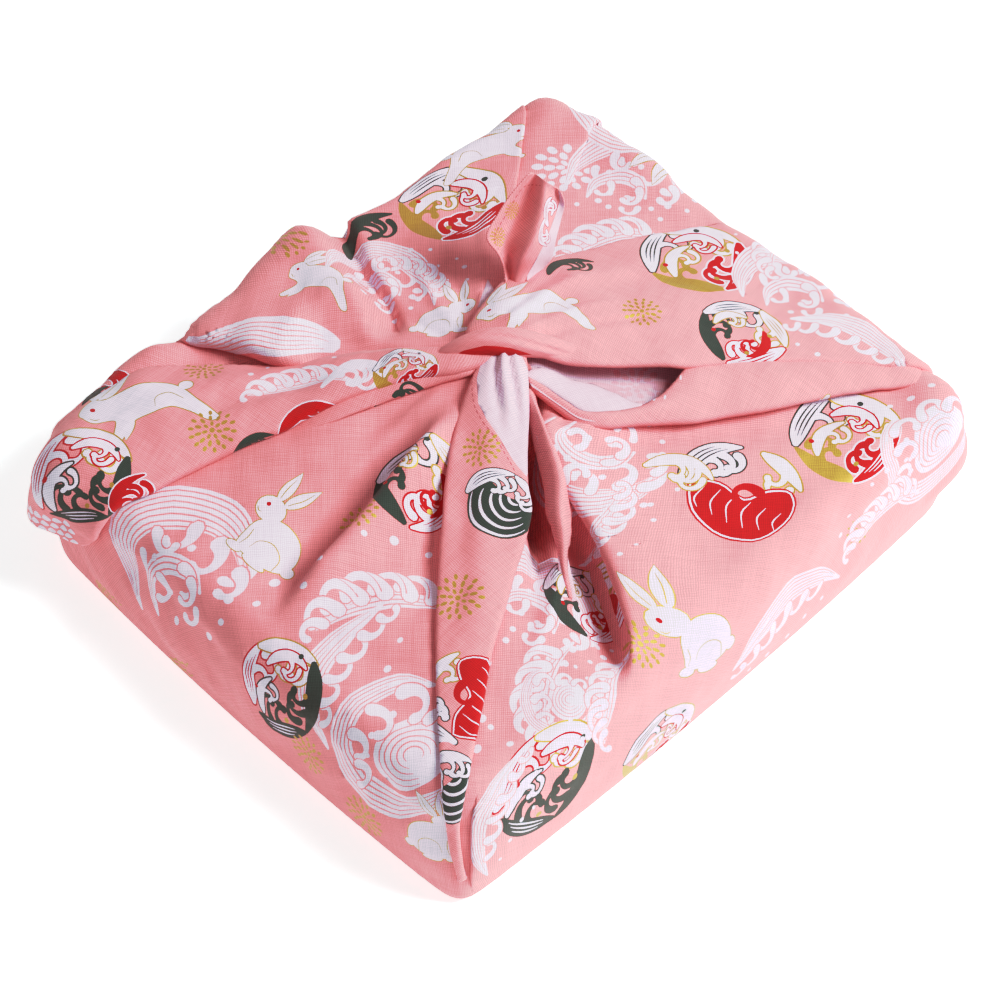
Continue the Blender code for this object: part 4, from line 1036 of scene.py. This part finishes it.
# motif, x, y, angle and size, which is below 0 where the motif is mirrored
PRINTS = {
    "cloth_body": (
        ("breaker", -116.8, 36.3, -89, 1.25), ("hare_sitting", -87.5, 19.4, -88, -0.85),
        ("sprig", -159, 81.1, -136, 0.8), ("sprig", -164.6, 31, -85, 0.8), ("curls", -77.4, -21.7, -36, 1.1),
        ("streams", -108.8, -33, 26, 0.85), ("whorl", -111.2, -68.1, -28, 1.05),
        ("roundel_a", -128.1, -24.9, -46, 1.15), ("burst", -146, -45.5, -28, 1.2), ("burst", -63.5, 1.4, -49, 1.2),
        ("burst", -151.3, -78.2, -14, 1.3), ("hare_sitting", -133, -101.6, -41, 0.7),
        ("roundel_c", -42.2, -4.3, -26, 1.15), ("white_hooks", -29.8, -10.1, 71, 1),
        ("breaker", -42.3, -61.7, -107, 0.95), ("curls", -68.8, -81.6, 37, 1), ("breaker", 9.6, -39.7, 152, -0.95),
        ("curls", -3.2, -61.4, -170, 0.7), ("half_moon", 34.2, -74.3, -63, 1.35),
        ("white_claws", 29.4, -55.3, -63, 1), ("roundel_c", -29.3, -68.1, -9, 1), ("burst", -30.6, -96.4, -37, 1.2),
        ("hare_sitting", -14.1, -109.1, -17, -0.85), ("streams", 27.3, -127.7, 5, -1),
        ("whorl", -64.9, -91, 19, 0.55), ("roundel_a", -89.6, -113, -35, 1.5),
        ("roundel_b", -46.5, -141.5, -20, 1.15), ("roundel_b", 77.9, -83.5, -30, 1.35),
        ("burst", 72.3, -120.1, -35, 1), ("whorl", 102.2, -104, 43, 0.85), ("curls", 82.2, -116, 12, 0.9),
        ("streams", -110.3, -108.4, 51, 0.7), ("curls", -53.4, -98.1, 38, 0.8), ("burst", -2, 104, -110, 1.1),
        ("hare_leaping", -6.9, 81.5, -76, -0.62), ("breaker", 13.7, 71.9, -90, 0.85),
        ("green_claws", 25.4, 97.2, 5, 1.2), ("curls", 24.9, 61.2, -100, 0.75),
        ("hare_sitting", 11.5, 39.3, -42, 0.7), ("roundel_b", 55.8, 82.4, -50, 1.35),
        ("hare_leaping", 83.3, 94.5, -18, 0.75), ("petals", 95.4, 67.3, -40, 1.2), ("breaker", 108.8, 48.8, -89, 1),
        ("curls", 82.5, 36, -18, 1), ("ghost_claws", 28.8, -16.2, -26, 1), ("ghost_flower", 42, -21.9, -34, 0.9),
        ("ghost_claws", 48.9, -30.1, -63, 0.9), ("ghost_claws", 28.2, -25.1, 119, 0.8),
        ("wave_back", -32.5, 81.6, -58, 1), ("red_claws", -81, 103, -76, 0.8), ("green_claws", -94, 103, 17, 0.7),
        ("breaker", 150, 0, 90, 1.2), ("roundel_a", 138, -55, 80, 1.2), ("hare_sitting", 136, 40, 90, 0.9),
        ("burst", 150, 66, 0, 1), ("whorl", 134, 80, 60, 1.1), ("roundel_c", 60, 128, 180, 1.3),
        ("breaker", 10, 130, 180, 1.3), ("hare_leaping", -45, 128, 180, 0.9), ("curls", 100, 132, 170, 1.1),
        ("burst", 36, 140, 0, 0.9), ("sprig", -20, 140, 150, 1), ("roundel_b", -90, 126, 180, 1.2),
    ),
    "left_arm": (
        ("hare_leaping", 117.5, -6.8, 175, -0.95), ("roundel_a", 142.2, 11.5, 137, 1.35),
        ("red_claws", 132.3, 24.3, -142, 1), ("scales", 168.9, 7.8, 124, 0.8), ("burst", 96.7, -18.1, -16, -1.1),
        ("burst", 92.9, 12, -172, 1.3), ("curls", 63, -2.9, 166, 0.8), ("red_claws", 63.2, 13.4, -179, 1),
        ("green_claws", 80.9, 18.9, -159, 0.75), ("white_hooks", 44.8, 1.5, 178, 1),
        ("roundel_b", 30.6, 6.1, -179, 0.8),
    ),
    "left_under": (
        ("green_claws", 33.5, 10.9, 4, -0.9), ("white_claws", 21.2, -7.6, -3, -0.7),
    ),
    "front_strip": (
        ("burst", 39.2, -2.4, 85, 1.1), ("green_moon", 58.3, 5.3, 84, 0.85), ("burst", 91.1, -4.4, 90, 1.35),
        ("half_moon", 129.4, 0.9, 166, 1.1), ("green_moon", 160.8, -0.3, 153, 0.9),
    ),
    "pleat": (
        ("white_hooks", 29.1, 7.2, 177, -1),
    ),
    "right_fold": (
        ("curls", 60.4, -16.7, -41, 0.6), ("green_claws", 15.7, 13.7, 39, 0.45),
        ("hare_leaping", 100.1, 21.6, -21, 0.6),
    ),
    "right_arm": (
        ("hare_leaping", 20.4, -3.3, -152, 0.8), ("burst", 55.3, 8.8, -168, -1.1),
        ("roundel_b", 86.5, -17.1, 163, -1.4), ("breaker", 116.7, -2.3, -140, -1),
        ("roundel_c", 87.4, 22.8, -173, -1.1), ("streams", 122.9, 26, -144, 0.8), ("curls", 115, -22.9, 124, -0.7),
        ("green_claws", 42.2, -22.4, 174, -0.9),
    ),
    "tail": (
        ("burst", 3.4, 27, 0, 0.55), ("burst", 4, 38, 0, 0.5), ("red_hooks", 19, 38, 80, 0.55),
        ("red_hooks", 20, 27, 100, -0.5),
    ),
    "underside": (
        ("breaker", -60, -40, 20, 1.4), ("roundel_a", 0, -50, 60, 1.2), ("hare_sitting", 60, -40, 10, 0.9),
        ("whorl", -70, 40, 70, 1.2), ("hare_leaping", 0, 20, 40, -0.9), ("curls", 40, 50, 30, 1.2),
        ("burst", -30, -10, 0, 1), ("burst", 40, 0, 0, 1), ("sprig", -20, 60, 80, 1),
    ),
}


# Where a piece shows its reverse, and its stitched hems: how far beside the path, and the path
AREAS = {
    "cloth_body": (
        (REVERSE, ((22, 35), (34, 42), (32, 37), (29, 31))),
        (REVERSE, ((14, 6), (30, 4), (52, -6), (72, -20), (74, -33), (54, -40), (36, -36), (24, -29), (17, -20),
                   (13, -6))),
    ),
    "tongue": ((REVERSE, ((-5, -30), (60, -30), (60, 30), (-5, 30))),),
    "knot": ((RED, ((14, 8.8), (19, 6.8), (26, 6.2), (34, 7.2), (41, 10), (34, 12.6), (24, 13.2), (17, 11.6))),),
    "tail": (
        (REVERSE, ((35, -1), (20, -1), (21, 10), (23.5, 20), (26, 28), (28.5, 36), (29, 44), (30, 53), (35, 53))),
    ),
    "front_strip": (
        (REVERSE, ((3.5, -5.6), (4.5, -2), (4.5, 5.1), (9.5, 9), (20, 12), (29.5, 14), (43.5, 14), (46, 12.5),
                   (42.5, 9.2), (40.5, 7.5), (34.5, 2.7), (29, -1.7), (23.5, -4.9), (14.5, -6.9), (8.5, -6.9))),
    ),
}
# the hems' stitches are drawn as dashes of painted seam shadow
HEMS = {
    "front_strip": (
        (-1.4, ((8.5, -6.9), (14.5, -6.9), (23.5, -4.9), (29, -1.7), (34.5, 2.7), (40.5, 7.5), (46.5, 10.7))),
    ),
    "tail": ((0, ((2.7, 12), (2.6, 22), (2.6, 34), (2.7, 45), (3.6, 47.4), (7, 48.4), (13, 48.8))),),
}


# ---------------------------------------------------------------- building
def body_outline(beyond):
    angle = np.linspace(0, 2 * math.pi, 420, endpoint=False)
    out = rim_distance(angle)[0] + HEIGHT + FOOT_RADIUS + beyond
    return columns(KNOT_X + out * np.cos(angle), KNOT_Y + out * np.sin(angle))


def body_place(x, y):
    return cloth(x, y, 0.0, BODY_FOLDS)


def plain_place(x, y):
    return base(np.asarray(x, float), np.asarray(y, float))


def underside_place(x, y):
    return columns(x, y, x * 0)


def inner_place(x, y):
    """The corners that are folded in lie under the top."""
    height = folded(BODY_FOLDS, x, y)[0]
    return base(x, y) + normals(x, y) * (np.minimum(height, 0) - INNER_DEPTH)[:, None]


def dashes(path, offset, long=1.25, gap=0.95, wide=0.34, step=0.2):
    """A row of stitches beside a path, as dashes that are filled with painted seam shadow."""
    path = resample(smooth_path(path), step)
    path = path + directions(path)[1] * offset
    count, every = int(long / step), int((long + gap) / step)
    return [stroke(path[k:k + count + 1:2], (wide, wide), caps=False) for k in range(0, len(path) - count, every)]


def printed_on(name, place):
    """What is printed on a piece: its reverse and the painted seam shadow of its hem first, then its motifs."""
    areas = [(np.array(polygon, float), ink) for ink, polygon in AREAS.get(name, ())]
    for offset, path in HEMS.get(name, ()):
        # the stitches are dashes of painted seam shadow, darker than the ground
        areas += [(polygon, SEAM_SHADOW) for polygon in dashes(path, offset)]
    return ([areas] if areas else []) + stamped(PRINTS.get(name, ()), place)


def lap_points(folds):
    """More places where a lap turns over."""
    found = []
    for fold in folds:
        if not fold.right:
            path = resample(fold_path(fold), LAP_STEP)
            left = directions(path)[1]
            found += [path + left * share * (math.pi * fold.height / 2)
                      for share in (-0.15, 0.0, 0.15, 0.3, 0.45, 0.6, 0.75, 0.9, 1.1)]
    return np.vstack(found)


THREAD_PITCH = 0.62  # mm between threads
THREAD_TURN = 45  # the threads run from corner to corner of the wrapped form
WEAVE_CONTRAST, SLUB_CONTRAST = 0.5, 0.24


def cotton():
    """Matt plain-weave cotton: the print, two sets of threads with slubs, and gold that glints a little."""
    material = bpy.data.materials.new("printed_cotton")
    material.use_nodes = True
    nodes, links = material.node_tree.nodes, material.node_tree.links

    def feed(made, inputs):
        for key, value in inputs.items():
            if isinstance(value, bpy.types.NodeSocket):
                links.new(value, made.inputs[key])
            else:
                made.inputs[key].default_value = value

    def node(kind, output, inputs, **settings):
        """The output of a new node, with sockets and values fed to its inputs."""
        made = nodes.new("ShaderNode" + kind)
        for key, value in settings.items():
            setattr(made, key, value)
        feed(made, inputs)
        return made.outputs[output]

    def math_of(operation, a, b=0.0):
        return node("Math", 0, {0: a, 1: b}, operation=operation)

    def slubs(stretch):
        """Unevenness that runs along one set of threads."""
        vector = node("Mapping", "Vector", {"Vector": threads, "Scale": stretch})
        return node("TexNoise", "Fac", {"Vector": vector, "Scale": 0.9, "Detail": 2.0})

    inks = nodes.new("ShaderNodeAttribute")
    inks.attribute_name = "print"
    gold = inks.outputs["Alpha"]
    threads = node("Mapping", "Vector", {
        "Vector": node("UVMap", "UV", {}, uv_map="weave"), "Rotation": (0, 0, math.radians(THREAD_TURN)),
        "Scale": (100 / THREAD_PITCH, 100 / THREAD_PITCH, 1)})
    wander = node("TexNoise", "Color", {"Vector": threads, "Scale": 0.35, "Detail": 1.0})
    moved = node("VectorMath", "Vector", {0: wander, 1: (0.9, 0.9, 0), 2: threads}, operation="MULTIPLY_ADD")
    turns = [math_of("MULTIPLY", node("SeparateXYZ", axis, {0: moved}), math.pi) for axis in "XY"]
    waves = [math_of("ABSOLUTE", math_of("SINE", turn)) for turn in turns]
    height = math_of("POWER", math_of("MULTIPLY", *waves), 0.6)
    uneven = math_of("ADD", slubs((0.05, 1.0, 1)), slubs((1.0, 0.05, 1)))
    shade = math_of("ADD", math_of("MULTIPLY", height, WEAVE_CONTRAST), 1 - WEAVE_CONTRAST * 0.72)
    shade = math_of("ADD", shade, math_of("MULTIPLY", math_of("SUBTRACT", uneven, 1.0), SLUB_CONTRAST))
    feed(nodes["Principled BSDF"], {
        "Base Color": node("VectorMath", "Vector", {0: inks.outputs["Color"], "Scale": shade}, operation="SCALE"),
        "Normal": node("Bump", "Normal", {"Strength": 0.35, "Distance": 0.00008,
                                          "Height": math_of("ADD", height, math_of("MULTIPLY", uneven, 0.8))}),
        "Roughness": math_of("SUBTRACT", 0.9, math_of("MULTIPLY", gold, 0.38)),
        "Metallic": math_of("MULTIPLY", gold, 0.35),
        "Specular IOR Level": 0.25, "Sheen Weight": 0.12, "Sheen Roughness": 0.6})
    return material


BODY_STEP, LAYER_STEP, BAND_STEP = ((2.35, 5.0, 1.3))
KNOT_STEP, TAIL_STEP, BACKING = 1.0, 1.2, 0.5
TURNED_UNDER, INNER_MARGIN, INNER_DEPTH = 10, 14, 2.0  # the body's lower end, and the corners that are folded in


def main():
    lower_end = body_outline(TURNED_UNDER)
    body = piece_of(
        "cloth_body",
        skin(lower_end, body_place, BODY_STEP, printed_on("cloth_body", plain_place), extra=lap_points(BODY_FOLDS)),
        skin(base(*lower_end.T)[:, :2], underside_place, LAYER_STEP, printed_on("underside", underside_place)),
        skin(body_outline(-HEIGHT - FOOT_RADIUS - INNER_MARGIN), inner_place, LAYER_STEP))
    pieces = [body]
    for name, settings in BANDS_BY_NAME.items():
        band = Band(*settings)
        pieces.append(piece_of(name, skin(band.outline(), band.place, BAND_STEP, printed_on(name, band.place),
                                          backing=BACKING, middle=(band.s[-1] / 2, 0))))
    for name, form, *settings in (("knot", Roll(KNOT), KNOT_STEP, 0), ("tail", Sheet(TAIL), TAIL_STEP, BACKING)):
        step, backing = settings
        prints = printed_on(name, form.place)
        pieces.append(piece_of(name, skin(form.outline(), form.place, step, prints, backing=backing)))
    material = cotton()
    for piece in pieces:
        piece.data.materials.append(material)
        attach(piece, "root")
        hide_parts("furoshiki_wrap")


# ---------------------------------------------------------------- stage
FLOOR_HALF = 3
AIM = Vector((0, 0, 0.04))
# name, place, size and watts
LIGHTS = (("key", (0.46, -0.66, 0.96), 0.45, 22.5), ("fill", (-0.2, 0.9, 0.9), 1.2, 2.0))


def stage():
    floor = bpy.data.meshes.new("floor")
    corners = [(x * FLOOR_HALF, y * FLOOR_HALF, 0) for x, y in ((-1, -1), (1, -1), (1, 1), (-1, 1))]
    floor.from_pydata(corners, [], [(0, 1, 2, 3)])
    floor = placed("floor", floor)
    white = bpy.data.materials.new("floor")
    world = bpy.data.worlds.new("studio")
    for holder, name, values in (
        (white, "Principled BSDF", {"Base Color": (0.96, 0.96, 0.96, 1), "Roughness": 0.9,
                                    "Emission Color": (1, 1, 1, 1), "Emission Strength": 0.9}),
        (world, "Background", {"Color": (1, 1, 1, 1), "Strength": 0.34}),
    ):
        holder.use_nodes = True
        for key, value in values.items():
            holder.node_tree.nodes[name].inputs[key].default_value = value
    floor.data.materials.append(white)
    bpy.context.scene.world = world
    for name, place, size, power in LIGHTS:
        light = bpy.data.lights.new(name, "AREA")
        light.size, light.energy = size, power
        lamp = placed(name, light)
        lamp.location = place
        lamp.rotation_euler = (AIM - Vector(place)).to_track_quat("-Z", "Y").to_euler()


def camera():
    """The photograph's view: solved on the outline of the wrap."""
    data = bpy.data.cameras.new("camera")
    data.sensor_width, data.lens = 36, 111.70
    data.clip_start, data.clip_end = 0.05, 20
    made = placed("camera", data)
    right, up = (0.712970, -0.701187, 0.003125), (0.554757, 0.566795, 0.609088)
    back, place = (-0.428856, -0.432528, 0.793096), (-0.457495, -0.460418, 0.853384)
    matrix = made.matrix_world.copy()
    for k, column in enumerate((right, up, back, place)):
        for i, value in enumerate(column):
            matrix[i][k] = value
    made.matrix_world = matrix
    bpy.context.scene.camera = made


WARM_SHADOWS = ((0.08, 0.05), (0.2, 0.142), (0.3, 0.24), (0.38, 0.357), (0.46, 0.472), (0.7, 0.713))
TONES = (  # the points of the curves for red, green, blue and all three
    ((0.3, 0.275), (0.6, 0.565), (0.72, 0.70), (0.82, 0.83), (0.92, 0.932)), WARM_SHADOWS, WARM_SHADOWS,
    ((0.25, 0.25), (0.5, 0.49), (0.9, 0.75), (1.25, 0.88)),
)


def tone_curve():
    """The photograph's tones: warm, deeper shadows, a soft shoulder, and a floor that is pure white."""
    settings = bpy.context.scene.view_settings
    settings.view_transform = "Standard"
    settings.use_curve_mapping = True
    curves = settings.curve_mapping
    curves.clip_max_x = curves.clip_max_y = 2.0
    curves.curves[3].points[0].location = (0, 0)
    curves.curves[3].points[1].location = (1.42, 1.0)
    for curve, places in zip(curves.curves, TONES):
        for place in places:
            curve.points.new(*place)
    curves.update()


main()
stage()
camera()
tone_curve()
